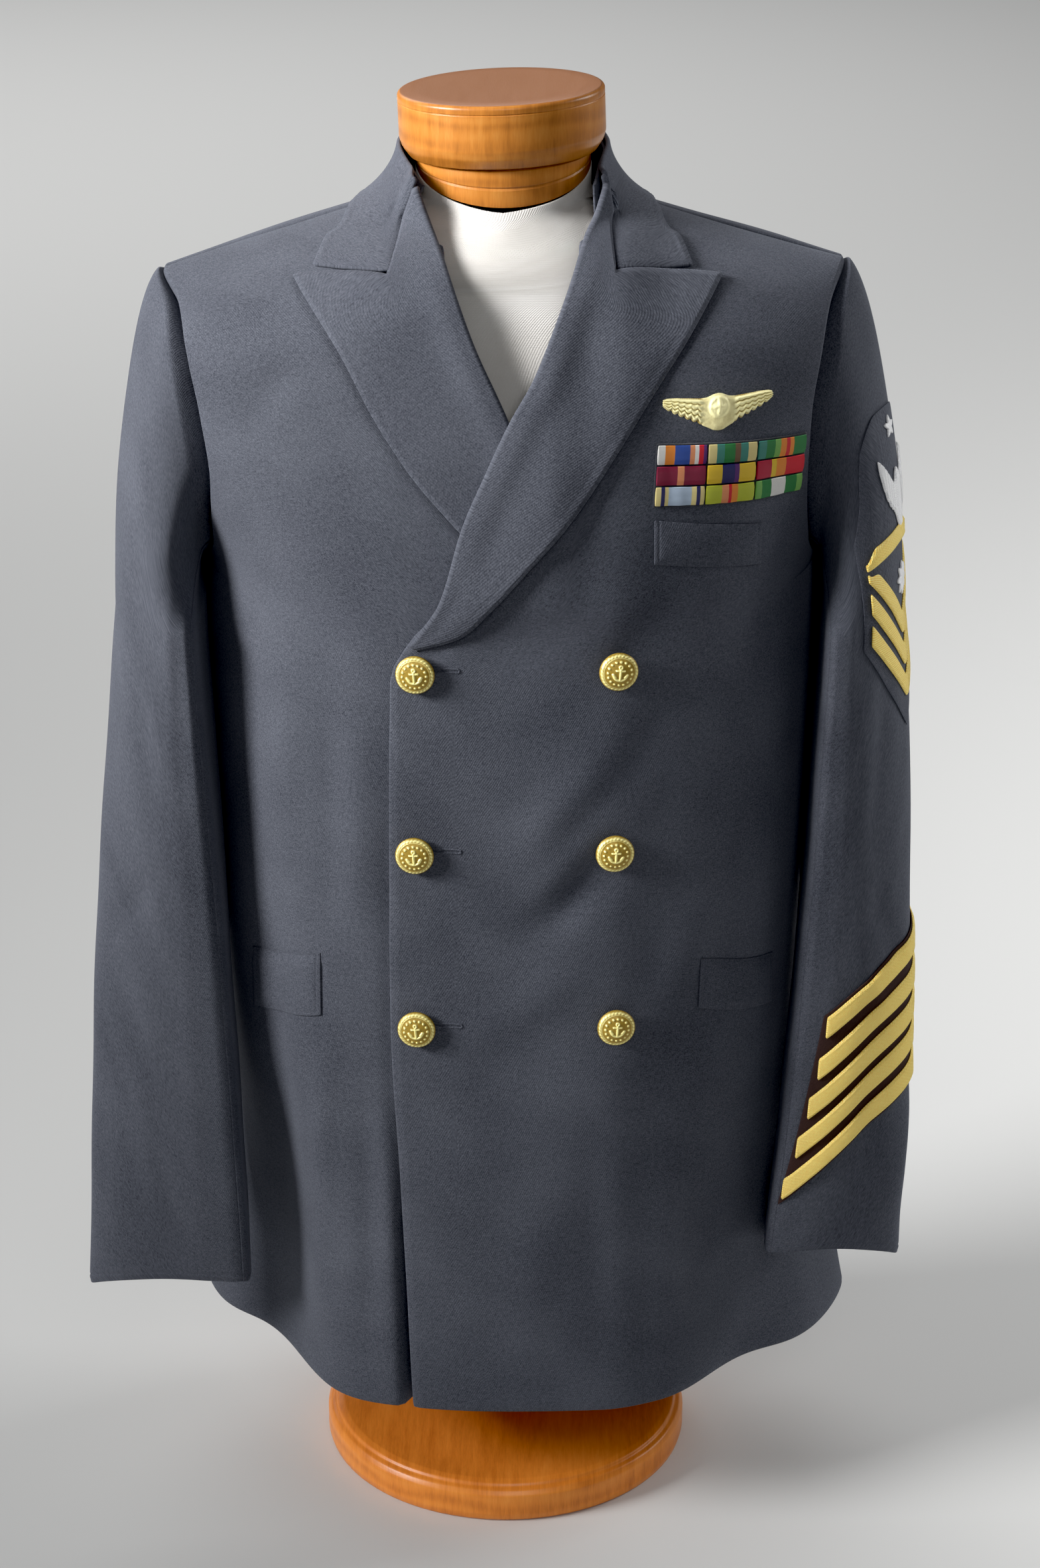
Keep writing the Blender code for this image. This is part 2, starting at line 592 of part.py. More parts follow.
def armhole_place(w, side):
    # w runs from 0 at the underarm to 1 at the shoulder seam.
    table = ARMHOLE_LEFT if side == "left" else ARMHOLE_RIGHT
    top = shoulder_z(SHOULDER_X if side == "left" else -SHOULDER_X)
    z = UNDERARM_Z + (top - UNDERARM_Z) * (1 - math.cos(math.pi * w)) / 2
    return lookup(table, "x", z), z


def front_edge_x(z, fold):
    if z <= FOLD_TOP_Z:
        return lookup(fold, "x", z)
    start = lookup(fold, "x", FOLD_TOP_Z)
    share = (z - FOLD_TOP_Z) / (NECK_Z - FOLD_TOP_Z)
    return mix(start, math.copysign(NECK_X, start), share ** 0.8)


def panel_rows(inner_edge, outer_edge, columns):
    # Rows of (angle, z) between two edges, which each give an (angle, z) for a row.
    rows = []
    for i in range(SKIRT_ROWS + ARMHOLE_ROWS + 1):
        (a0, z0), (a1, z1) = inner_edge(i), outer_edge(i)
        x0, x1 = body_x(a0, z0), body_x(a1, z1)
        row = []
        for j in range(columns + 1):
            angle, z = mix(a0, a1, j / columns), mix(z0, z1, j / columns)
            for _ in range(4):
                z = mix(z0, z1, (body_x(angle, z) - x0) / (x1 - x0))
            if j in (0, columns):
                angle, z = ((a0, z0), (a1, z1))[j // columns]
            row.append((angle, z))
        rows.append(row)
    return rows


def outer_edge_of(side, front):
    # Side seam up to the underarm, then the armhole.
    seam = 0.0 if side == "left" else (-math.pi if front else math.pi)

    def edge(i):
        if i <= SKIRT_ROWS:
            return seam, mix(hem_z(seam), UNDERARM_Z, i / SKIRT_ROWS)
        x, z = armhole_place((i - SKIRT_ROWS) / ARMHOLE_ROWS, side)
        return angle_of(x if side == "left" else -x, z, front), z
    return edge


def front_inner_edge(fold):
    def edge(i):
        if i <= SKIRT_ROWS:
            z = mix(HEM_Z, UNDERARM_Z, i / SKIRT_ROWS)
        else:
            share = (i - SKIRT_ROWS) / ARMHOLE_ROWS
            z = mix(UNDERARM_Z, NECK_Z, math.sin(math.pi / 2 * share))
        return angle_of(front_edge_x(z, fold), z), z
    return edge


def back_inner_edge(side):
    # Centre back seam, then the back neck up to the shoulder seam.
    seam_rows = SKIRT_ROWS + ARMHOLE_ROWS - BACK_NECK_ROWS

    def edge(i):
        if i <= seam_rows:
            return math.pi / 2, mix(HEM_Z, BACK_NECK_Z, i / seam_rows)
        share = (i - seam_rows) / BACK_NECK_ROWS
        x = NECK_X * math.sin(math.pi / 2 * share)
        z = mix(BACK_NECK_Z, NECK_Z, share)
        return angle_of(x if side == "left" else -x, z, front=False), z
    return edge


def left_front_lift(x, z):
    # The left front lies over the right front, and over the right lapel at the crossing.
    over_front = 1 - ease(LAP["step_from"], LAP["step_to"], x)
    over_lapel = 1 - ease(LAP["lapel_from"], LAP["lapel_to"], x)
    over_lapel *= ease(LAP["lapel_low"], LAP["lapel_full"], z)
    over_lapel *= 1 - ease(LAP["lapel_fade"], LAP["lapel_high"], z)
    return LAYER * (over_front + over_lapel)


def no_lift(x, z):
    return 0.0


def body_panel(name, rows, lift):
    outer, inner = [], []
    for row in rows:
        heights = [lift(body_x(a, z), z) for a, z in row]
        outer.append([over_body(a, z, h) for (a, z), h in zip(row, heights)])
        inner.append([over_body(a, z, h - WALL) for (a, z), h in zip(row, heights)])
    for grid in (outer, inner):
        trim(grid, "last", SEAM / 2)
        trim(grid, "top", SEAM / 2)
        if name.startswith("back"):
            trim(grid, "first", SEAM / 2)
    cloth_wall(name, outer, inner, WOOL)
    return outer


def make_fronts_and_backs():
    folds = {"left": FOLD_LEFT, "right": FOLD_RIGHT}
    lifts = {"left": left_front_lift, "right": no_lift}
    grids = {}
    for side in ("left", "right"):
        rows = panel_rows(front_inner_edge(folds[side]), outer_edge_of(side, True), FRONT_COLUMNS)
        grids["front_" + side] = body_panel("front_" + side, rows, lifts[side])
        rows = panel_rows(back_inner_edge(side), outer_edge_of(side, False), BACK_COLUMNS)
        grids["back_" + side] = body_panel("back_" + side, rows, no_lift)
    trees = {name: search_tree([grid]) for name, grid in grids.items()}
    trees["all"] = search_tree(grids.values())
    return trees


def search_tree(grids):
    # Nearest-point search over the outer faces of grids of points.
    points, faces = [], []
    for grid in grids:
        start, columns = len(points), len(grid[0])
        points += [p for row in grid for p in row]
        for i in range(len(grid) - 1):
            for j in range(columns - 1):
                k = start + i * columns + j
                faces.append((k, k + 1, k + columns + 1, k + columns))
    return BVHTree.FromPolygons(points, faces)


def clear_of(tree, point, lift):
    # Moves a point out until it is at least this far above the cloth under it.
    for _ in range(4):
        place, normal, _, _ = tree.find_nearest(point)
        outward = normal if normal.dot(Vector((place.x, place.y, 0.04))) > 0 else -normal
        height = (point - place).dot(outward)
        aside = (point - place - outward * height).length
        if height < lift and aside < 0.001:
            point = point + outward * (lift - height)
    return point


# ---- lapels and collar ----

def neck_lift(x, z):
    # The lapel stands a little further off where the cloth turns up round the neck.
    lift = NECK_LIFT["more"] * ease(NECK_LIFT["low"], NECK_LIFT["full"], z)
    return lift * (1 - ease(NECK_LIFT["near"], NECK_LIFT["far"], abs(x)))


def make_lapel(name, table, fold, lift, panels):
    outer, inner = [], []
    for i in range(LAPEL_ROWS + 1):
        t = i / LAPEL_ROWS
        fold_z = lookup(table, "fold", t, "row")
        places = [(lookup(fold, "x", fold_z), fold_z)]
        places.append(tuple(lookup(table, c, t, "row") for c in ("mid_x", "mid_z")))
        places.append(tuple(lookup(table, c, t, "row") for c in ("edge_x", "edge_z")))
        upper, lower = [], []
        for j in range(LAPEL_COLUMNS + 1):
            u = 2 * j / LAPEL_COLUMNS
            (xa, za), (xb, zb) = places[min(int(u), 1):min(int(u), 1) + 2]
            part = u - min(int(u), 1)
            bow = lookup(table, "bow", t, "row") * math.sin(math.pi * part) * (u > 1)
            x, z = mix(xa, xb, part), mix(za, zb, part) + bow
            height = lift(x, z) + LAYER + neck_lift(x, z)
            point = on_front(x, z, height)
            upper.append(clear_of(panels, point, LAYER) if z < FOLD_TOP_Z - 0.005 else point)
            lower.append(upper[-1] - body_normal(angle_of(x, z), z) * WALL)
        outer.append(upper)
        inner.append(lower)
    return cloth_wall(name, outer, inner, WOOL)


def collar_station(turn, side):
    # Rolled edge, middle and outer edge of the fall, at one place round the neck.
    roll = Vector([lookup(COLLAR, c, turn, "turn") for c in ("roll_x", "roll_y", "roll_z")])
    middle = Vector([lookup(COLLAR, c, turn, "turn") for c in ("mid_x", "mid_y", "mid_z")])
    x, z = lookup(COLLAR, "edge_x", turn, "turn"), lookup(COLLAR, "edge_z", turn, "turn")
    z = min(z, shoulder_z(x * side))
    edge = over_body(angle_of(x * side, z, turn < 0.4), z, LAYER)
    shift = COLLAR_SHIFT * (1 - ease(0.0, 0.3, turn))
    roll = Vector((roll.x * side + shift, roll.y, roll.z))
    middle = Vector((middle.x * side, middle.y, middle.z))
    return [roll, middle, edge]


def down_collar(points, t, turn):
    # The fall bends smoothly round the neck and lies straight-sided at the gorge.
    a, b, c = points
    bent = a * (1 - t) * (1 - 2 * t) + b * 4 * t * (1 - t) + c * t * (2 * t - 1)
    straight = a.lerp(b, 2 * t) if t < 0.5 else b.lerp(c, 2 * t - 1)
    return straight.lerp(bent, ease(0.0, 0.25, turn))


def around_collar():
    turns = [i / COLLAR_COLUMNS for i in range(COLLAR_COLUMNS + 1)]
    return [(t, -1) for t in turns] + [(t, 1) for t in reversed(turns[:-1])]


def make_collar(panels):
    places = around_collar()
    stations = [collar_station(turn, side) for turn, side in places]
    fall = []
    for r in range(COLLAR_ROWS + 1):
        line = []
        for station, (turn, _) in zip(stations, places):
            point = down_collar(station, r / COLLAR_ROWS, turn)
            if turn < COLLAR_FRONT:
                line.append(on_front(point.x, point.z, LAYER + neck_lift(point.x, point.z)))
            else:
                line.append(clear_of(panels, point, LAYER + neck_lift(point.x, point.z)))
        fall.append(line)
    normals = grid_normals(fall, False)
    for line, points in zip(normals, fall):
        for end in (0, -1):
            p = points[end]
            line[end] = -body_normal(angle_of(p.x, p.z), p.z)
    under = [[p + n * WALL for p, n in zip(*lines)] for lines in zip(fall, normals)]
    cloth_wall("collar_fall", fall, under, WOOL)

    feet, tops = [], []
    for (turn, side), station in zip(places, stations):
        foot = Vector([lookup(STAND_FOOT, c, turn, "turn") for c in ("x", "y", "z")])
        feet.append(Vector((foot.x * side, foot.y, foot.z)))
        inward = Vector((-station[0].x, -station[0].y, 0)).normalized()
        tops.append(station[0] + inward * STAND_INSET - Vector((0, 0, STAND_DROP)))
    stand = [[top.lerp(foot, r / 2) for top, foot in zip(tops, feet)] for r in range(3)]
    normals = grid_normals(stand, False)
    inside = [[p + n * WALL for p, n in zip(*lines)] for lines in zip(stand, normals)]
    cloth_wall("collar_stand", stand, inside, WOOL)


# ---- sleeves ----

def arm_point(table, sign, phi, z):
    # Point on a level ring; phi 0 is outside, 90 degrees the front, 180 inside.
    inner, outer, middle, half = (lookup(table, c, z) for c in ("inner", "outer", "middle", "half"))
    across, depth = (math.copysign(abs(v) ** (2 / ARM_POWER), v)
                     for v in (math.cos(phi), math.sin(phi)))
    x = (inner + outer) / 2 + (outer - inner) / 2 * across
    low = table[0]["z"]
    near_cuff = 1 - ease(low, low + CUFF_REACH, z)
    tilt = CUFF_SLANT * half * depth * near_cuff
    return Vector((sign * x, middle - half * depth, z + tilt))


def armhole_point(side, sign, phi):
    w = 1 - abs(math.remainder(phi, 2 * math.pi)) / math.pi
    x, z = armhole_place(w, side)
    return body_point(angle_of(sign * x, z, front=math.sin(phi) >= 0), z)


def cap_point(side, sign, table, phi, t):
    # From the armhole out over the shoulder and down to the level top ring of the arm.
    start = armhole_point(side, sign, phi)
    end = arm_point(table, sign, phi, table[-1]["z"])
    above = math.cos(phi)
    leave = Vector((sign, 0, -CAP["droop"] - CAP["droop_low"] * (1 - above))).normalized()
    start = start + leave * SEAM * 2
    out = start + leave * (CAP["out"] + CAP["out_top"] * above)
    down = end + Vector((0, 0, CAP["hang"] + CAP["hang_top"] * above))
    s = 1 - t
    return start * s ** 3 + out * 3 * s * s * t + down * 3 * s * t * t + end * t ** 3


def sleeve_point(side, phi, share):
    # share runs from 0 at the armhole through 1 at the upper arm to 2 at the cuff.
    sign = 1 if side == "left" else -1
    table = SLEEVE_LEFT if side == "left" else SLEEVE_RIGHT
    if share <= 1:
        return cap_point(side, sign, table, phi, share)
    return arm_point(table, sign, phi, mix(table[-1]["z"], table[0]["z"], share - 1))


def sleeve_normal(side, phi, share):
    step = 0.01
    across = sleeve_point(side, phi + step, share) - sleeve_point(side, phi - step, share)
    along = (sleeve_point(side, phi, min(2, share + step))
             - sleeve_point(side, phi, max(0, share - step)))
    normal = across.cross(along).normalized()
    return normal if side == "left" else -normal


def make_sleeve(side):
    shares = [i / CAP_RINGS for i in range(CAP_RINGS)]
    shares += [1 + i / ARM_RINGS for i in range(ARM_RINGS + 1)]
    angles = [2 * math.pi * j / RING_POINTS for j in range(RING_POINTS)]
    outer = [[sleeve_point(side, phi, share) for phi in angles] for share in shares]
    inner = []
    for share, ring in zip(shares, outer):
        normals = [sleeve_normal(side, phi, share) for phi in angles]
        inner.append([p - n * WALL for p, n in zip(ring, normals)])
    under = range(FOREARM_SEAM, HINDARM_SEAM + 1)
    top = range(HINDARM_SEAM, FOREARM_SEAM + RING_POINTS + 1)
    for name, columns in (("sleeve_under_", under), ("sleeve_top_", top)):
        skins = [[[ring[j % RING_POINTS] for j in columns] for ring in grid]
                 for grid in (outer, inner)]
        for skin in skins:
            trim(skin, "first", SLEEVE_SEAM / 2)
            trim(skin, "last", SLEEVE_SEAM / 2)
        cloth_wall(name + side, skins[0], skins[1], WOOL)


# ---- form ----

def form_ridge(x):
    return shoulder_z(x) - (WALL + REST) * math.hypot(1, shoulder_slope(x))


def form_point(angle, z, slant):
    # Section of the covered torso, with its shoulders and neck.
    y = 0.0
    for _ in range(6):
        level = z + slant * y
        half, front, back, side = (lookup(FORM, c, level) for c in ("half", "front", "back", "side"))
        side_x = math.copysign(NECK_X, math.cos(angle))
        ridge_x = NECK_X + (form_ridge(side_x) - level) / shoulder_slope(side_x)
        half = max(min(half, ridge_x), NECK_RADIUS)
        c, s = math.cos(angle), math.sin(angle)
        x = math.copysign(half * abs(c) ** (2 / side), c)
        reach = (front if s < 0 else back) * abs(s) ** (2 / FORM_POWER)
        reach *= round_over((form_ridge(x) - level) / FORM_ROUND)
        neck = math.sqrt(max(0.0, NECK_RADIUS ** 2 - x * x))
        blend = 0.010 * ease(0.0, 0.03, neck) * ease(0.74, 0.79, level)
        reach = soft_max(reach, neck * ease(0.70, 0.80, level), blend)
        y = math.copysign(reach, s)
    return Vector((x, y, level))


def neck_ring(radius, z, slant_y, slant_x, points):
    ring = []
    for j in range(points):
        angle = 2 * math.pi * (j + 0.5) / points
        x, y = radius * math.cos(angle), radius * math.sin(angle)
        ring.append(Vector((x, y, z + slant_y * y + slant_x * x)))
    return ring


def stack_rings(name, rings, finish):
    # Closed solid through rings of the same count, capped at both ends.
    shape = bmesh.new()
    loops = [[shape.verts.new(p) for p in ring] for ring in rings]
    count = len(loops[0])
    for low, high in zip(loops, loops[1:]):
        for j in range(count):
            k = (j + 1) % count
            shape.faces.new((low[j], low[k], high[k], high[j]))
    shape.faces.new(loops[0])
    shape.faces.new(loops[-1])
    return add_object(name, shape, finish)


def make_form_torso():
    angles = [2 * math.pi * (j + 0.5) / FORM_POINTS for j in range(FORM_POINTS)]
    rings = [[form_point(a, z, NECK_TOP_SLANT * ease(SLANT_FROM_Z, SLANT_TO_Z, z)) for a in angles]
             for z in FORM_RINGS]
    rings.append(neck_ring(NECK_RADIUS, NECK_TOP_Z, NECK_TOP_SLANT, 0.0, FORM_POINTS))
    stack_rings("form_torso", rings, JERSEY)


def turned(name, profile, finish, steps=WOOD_STEPS, matrix=Matrix()):
    # Solid of revolution from (radius, z) points that run from the top down.
    mesh = bpy.data.meshes.new(name)
    points = [(radius, 0.0, z) for radius, z in profile]
    mesh.from_pydata(points, [(i, i + 1) for i in range(len(points) - 1)], [])
    obj = bpy.data.objects.new(name, mesh)
    bpy.data.collections[COLLECTION].objects.link(obj)
    screw = obj.modifiers.new("turn", "SCREW")
    screw.axis = "Z"
    screw.steps = steps
    screw.render_steps = steps
    screw.use_merge_vertices = True
    screw.merge_threshold = 0.00001
    mesh.materials.append(make_material(name, finish))
    obj.matrix_world = matrix
    return obj


def closed_profile(rows, radius):
    # Profile of a solid part, closed at both ends on its axis.
    points = [(radius + row["out"], row["z"]) for row in rows]
    return [(0.0, points[0][1])] + points + [(0.0, points[-1][1])]


def make_form_wood():
    pivot = Vector((0, 0, BLOCK_BOTTOM_Z))
    tilt = Matrix.Translation(pivot) @ Matrix.Rotation(-BLOCK_TILT, 4, "Y")
    tilt = tilt @ Matrix.Translation(-pivot)
    block = closed_profile(BLOCK_PROFILE, BLOCK_RADIUS)
    turned("form_neck_block", block, WOOD, matrix=tilt)

    plug_radius = NECK_RADIUS - PLUG_INSET
    low = neck_ring(plug_radius, NECK_TOP_Z + GAP, NECK_TOP_SLANT, 0.0, WOOD_STEPS)
    high = neck_ring(plug_radius, BLOCK_BOTTOM_Z - GAP, 0.0, math.tan(BLOCK_TILT), WOOD_STEPS)
    stack_rings("form_neck_plug", [low, high], WOOD)
    turned("form_post", closed_profile(POST_PROFILE, POST_RADIUS), WOOD)
    turned("form_base", closed_profile(BASE_PROFILE, BASE_RADIUS), WOOD)


# ---- trimmings ----

def face_matrix(point, normal):
    # Local Z out of the cloth, local Y upward.
    z_axis = normal.normalized()
    x_axis = Vector((0, 0, 1)).cross(z_axis).normalized()
    y_axis = z_axis.cross(x_axis)
    matrix = Matrix((x_axis, y_axis, z_axis)).transposed().to_4x4()
    matrix.translation = point
    return matrix


def make_buttons(cloth):
    dome = [(row["share"] * BUTTON_RADIUS, row["z"]) for row in BUTTON_PROFILE]
    for number, place in enumerate(BUTTONS, 1):
        x, z = place["x"], place["z"]
        normal = body_normal(angle_of(x, z), z)
        spot, _, _, _ = cloth.find_nearest(on_front(x, z, left_front_lift(x, z)))
        matrix = face_matrix(spot + normal * CLEAR, normal)
        turned("button_%d" % number, dome, GOLD, BUTTON_STEPS, matrix)


def chest_patch(name, columns, rows, place, lift, thick, finish):
    # A flat piece that follows the front; place(u, v) gives its x and z.
    outer, inner = [], []
    for i in range(rows + 1):
        line = [place(j / columns, i / rows) for j in range(columns + 1)]
        outer.append([on_front(x, z, lift(x, z) + thick) for x, z in line])
        inner.append([on_front(x, z, lift(x, z)) for x, z in line])
    return cloth_wall(name, outer, inner, finish)


def make_welts():
    for welt in WELTS:
        def place(u, v, w=welt):
            x = mix(w["x0"], w["x1"], u)
            return x, mix(w["z0"], w["z1"], v) + w["tilt"] * (x - w["x0"])

        def lift(x, z, w=welt):
            return CLEAR + (0.0 if w["x0"] < 0 else left_front_lift(x, z))
        chest_patch(welt["name"], 5, 2, place, lift, PATCH, WOOL)


def make_ribbons():
    rack = RIBBON

    def rack_place(across, up):
        return (rack["x"] + across - up * rack["tilt"], rack["z"] + up + across * rack["tilt"])

    def base_lift(x, z):
        return left_front_lift(x, z) + CLEAR

    whole_wide, whole_high = 3 * rack["wide"], 3 * rack["high"]
    chest_patch("ribbon_holder", 6, 2, lambda u, v: rack_place(u * whole_wide, v * whole_high),
                base_lift, HOLDER, dict(WOOL, colour=HOLDER_COLOUR))
    gap = rack["gap"]
    for row in range(3):
        for column in range(3):
            def place(u, v, row=row, column=column):
                across = column * rack["wide"] + gap + u * (rack["wide"] - 2 * gap)
                up = (2 - row) * rack["high"] + gap + v * (rack["high"] - 2 * gap)
                return rack_place(across, up)
            finish = dict(WOOL, colour=RIBBON_COLOURS[row][column])
            chest_patch("ribbon_%d_%d" % (row + 1, column + 1), 3, 1, place,
                        lambda x, z: base_lift(x, z) + HOLDER + GAP, PATCH, finish)


def make_wings():
    place = WINGS_PLACE
    stations = [-row["out"] for row in reversed(WINGS)] + [row["out"] for row in WINGS[1:]]
    outer, inner = [], []
    for v in (0.0, 0.5, 1.0):
        upper, lower = [], []
        for out in stations:
            low, high, thick = (lookup(WINGS, c, abs(out), "out") for c in ("bottom", "top", "thick"))
            up = mix(low, high, v)
            x, z = place["x"] + out, place["z"] + up
            lift = left_front_lift(x, z) + CLEAR
            upper.append(on_front(x, z, lift + thick))
            lower.append(on_front(x, z, lift))
        outer.append(upper)
        inner.append(lower)
    cloth_wall("wings_badge", outer, inner, GOLD)


@functools.lru_cache(maxsize=None)
def share_at(phi, z):
    # Where the left sleeve reaches a height, at an angle round the arm.
    low, high = 0.0, 2.0
    for _ in range(24):
        middle = (low + high) / 2
        if sleeve_point("left", phi, middle).z > z:
            low = middle
        else:
            high = middle
    return (low + high) / 2


def on_sleeve(angle, z, lift):
    phi = math.radians(angle)
    share = share_at(round(phi, 5), round(z, 5))
    return sleeve_point("left", phi, share) + sleeve_normal("left", phi, share) * lift


def sleeve_patch(name, columns, rows, place, lift, thick, finish):
    # A flat badge that follows the left sleeve; place(u, v) gives its angle and height.
    grids = []
    for height in (lift + thick, lift):
        grids.append([[on_sleeve(*place(j / columns, i / rows), height)
                       for j in range(columns + 1)] for i in range(rows + 1)])
    return cloth_wall(name, grids[0], grids[1], finish)


@functools.lru_cache(maxsize=None)
def arm_angle(start, out, z):
    # Angle round the left sleeve at a distance from a first angle, towards the front.
    angle, steps, turn = math.radians(start), 16, 0.05
    level = min(z, SLEEVE_LEFT[-1]["z"])
    for _ in range(steps):
        ends = [arm_point(SLEEVE_LEFT, 1, angle + t, level) for t in (-turn, turn)]
        angle += out / steps / ((ends[1] - ends[0]).length / (2 * turn))
    return math.degrees(angle)


def around_arm(start, out, z):
    return arm_angle(round(start, 3), round(out, 5), round(z, 5)), z


def stripe_climb(stripe, distance):
    # Rise of a stripe after a distance round the arm from its front end.
    steps, climb = 12, 0.0
    for k in range(steps):
        angle = arm_angle(round(stripe["angle"], 3), round(-distance * (k + 0.5) / steps, 5),
                          round(stripe["low"] + 0.03, 5))
        climb += stripe["steep"] * mix(STRIPE_SIDE_SLOPE, 1.0, ease(35, 100, angle)) / steps
    return climb * distance


def make_service_stripes():
    first, last = STRIPES[0], STRIPES[-1]

    def backing(u, v):
        distance = mix(-STRIPE_MARGIN, STRIPE_LENGTH + STRIPE_MARGIN, u)
        between = {c: mix(last[c], first[c], v) for c in last}
        low = between["low"] + mix(-STRIPE_MARGIN, STRIPE_HIGH + STRIPE_MARGIN, v)
        return around_arm(between["angle"], -distance, low + stripe_climb(between, distance))

    sleeve_patch("stripe_backing", STRIPE_COLUMNS, 10, backing, STRIPE_LIFT, BACKING, WOOL)
    lift = STRIPE_LIFT + BACKING + STRIPE_GAP
    for number, stripe in enumerate(STRIPES, 1):
        def place(u, v, s=stripe):
            distance = STRIPE_LENGTH * u
            height = s["low"] + stripe_climb(s, distance) + STRIPE_HIGH * v
            return around_arm(s["angle"], -distance, height)
        sleeve_patch("service_stripe_%d" % number, STRIPE_COLUMNS, 1, place, lift, THREAD,
                     GOLD_THREAD)


def badge_place(out, up):
    return around_arm(RANK["angle"], out, RANK["z"] + up)


def badge_outline(name, outline, lift, thick, finish):
    # Small flat motif: an outline round a middle point, front and back.
    shape = bmesh.new()
    loops, middles = [], []
    centre = (sum(p[0] for p in outline) / len(outline), sum(p[1] for p in outline) / len(outline))
    for height in (lift + thick, lift):
        loops.append([shape.verts.new(on_sleeve(*badge_place(*p), height)) for p in outline])
        middles.append(shape.verts.new(on_sleeve(*badge_place(*centre), height)))
    for j in range(len(outline)):
        k = (j + 1) % len(outline)
        for loop, middle in zip(loops, middles):
            shape.faces.new((loop[j], loop[k], middle))
        shape.faces.new((loops[0][j], loops[0][k], loops[1][k], loops[1][j]))
    return add_object(name, shape, finish)


def make_rank_badge():
    r = RANK
    half, wide, span = r["half"], RANK_BACKING[-1]["out"], RANK_BIRD[-1]["out"]
    lift = RANK_LIFT + BACKING + THREAD_GAP

    def backing(u, v):
        out = mix(wide, -wide, u)
        low, high = (lookup(RANK_BACKING, c, abs(out), "out") for c in ("low", "high"))
        return badge_place(out, mix(low, high, v))

    sleeve_patch("rank_backing", r["columns"], 10, backing, RANK_LIFT, BACKING, WOOL)

    def fullness(out):
        # The arc and the top chevron taper where their ends meet.
        return mix(r["end_share"], 1.0, ease(0.0, r["taper"], half - abs(out)))

    for number in range(3):
        def chevron(u, v, number=number):
            out = mix(half, -half, u)
            low = r["top"] - number * r["pitch"] - r["slope"] * (half - abs(out)) - r["strip"]
            return badge_place(out, low + r["strip"] * v * (fullness(out) if number == 0 else 1))
        sleeve_patch("rank_chevron_%d" % (number + 1), r["columns"], 1, chevron, lift, THREAD,
                     GOLD_THREAD)

    def arc(u, v):
        out = mix(half, -half, u)
        low = r["arc_foot"] + r["arc_rise"] * math.cos(math.pi / 2 * out / half)
        return badge_place(out, low + r["arc_strip"] * fullness(out) * v)

    sleeve_patch("rank_arc", r["columns"], 1, arc, lift, THREAD, GOLD_THREAD)

    def bird(u, v):
        out = mix(span, -span, u)
        low, high = (lookup(RANK_BIRD, c, abs(out), "out") for c in ("bottom", "top"))
        return badge_place(out, mix(low, high, v))

    sleeve_patch("rank_bird", r["columns"], 1, bird, lift, THREAD, SILVER_THREAD)
    outline = []
    for k in range(10):
        angle = math.pi * (0.5 + k / 5)
        radius = RANK_STAR["waist"] if k % 2 else RANK_STAR["radius"]
        outline.append((radius * math.cos(angle), RANK_STAR["up"] + radius * math.sin(angle)))
    badge_outline("rank_star", outline, lift, THREAD, SILVER_THREAD)
    mark = RANK_MARK
    turns = [2 * math.pi * k / mark["points"] for k in range(mark["points"])]
    outline = [(mark["radius"] * math.cos(t), mark["up"] + mark["radius"] * math.sin(t))
               for t in turns]
    badge_outline("rank_mark", outline, lift, THREAD, SILVER_THREAD)


def main():
    for old in list(bpy.data.objects):
        bpy.data.objects.remove(old, do_unlink=True)
    collection = bpy.data.collections.new(COLLECTION)
    bpy.context.scene.collection.children.link(collection)
    make_form_torso()
    make_form_wood()
    panels = make_fronts_and_backs()
    make_lapel("lapel_left", LAPEL_LEFT, FOLD_LEFT, left_front_lift, panels["front_left"])
    make_lapel("lapel_right", LAPEL_RIGHT, FOLD_RIGHT, no_lift, panels["front_right"])
    make_collar(panels["all"])
    make_sleeve("left")
    make_sleeve("right")
    make_welts()
    make_buttons(panels["front_left"])
    make_wings()
    make_ribbons()
    make_service_stripes()
    make_rank_badge()


main()
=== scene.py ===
# The naval dress jacket on its dress form, finished: cloth, trimmings, wood, floor, light and
# camera. Metres, +Z up, the front faces -Y and the wearer's left is +X. Each piece of cloth is
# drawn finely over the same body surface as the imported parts, with its creases, rolls and edges.

import math

import bpy
import numpy as np
from mathutils import Matrix, Vector
from mathutils.bvhtree import BVHTree


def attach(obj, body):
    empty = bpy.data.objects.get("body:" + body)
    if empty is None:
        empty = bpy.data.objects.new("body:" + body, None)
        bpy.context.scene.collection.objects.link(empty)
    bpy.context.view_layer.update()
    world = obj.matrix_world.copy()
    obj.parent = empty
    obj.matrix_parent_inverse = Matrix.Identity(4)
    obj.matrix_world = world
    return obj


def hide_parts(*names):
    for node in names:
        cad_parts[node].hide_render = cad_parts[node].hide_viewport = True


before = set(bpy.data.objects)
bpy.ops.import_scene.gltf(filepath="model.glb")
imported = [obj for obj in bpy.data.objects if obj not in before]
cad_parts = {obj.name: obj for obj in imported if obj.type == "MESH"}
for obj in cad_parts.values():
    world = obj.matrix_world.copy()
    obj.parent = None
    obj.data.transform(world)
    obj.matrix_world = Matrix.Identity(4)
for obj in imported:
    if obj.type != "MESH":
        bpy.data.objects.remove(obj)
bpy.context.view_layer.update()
print("frame loaded:", len(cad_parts), "parts")


def table(names, *rows):
    # Columns by name: lengths in millimetres, or plain numbers where the name ends in a star.
    columns = {}
    for name, values in zip(names.split(), zip(*rows)):
        columns[name.strip("*")] = np.array(values, float) / (1 if name.endswith("*") else 1000)
    return columns


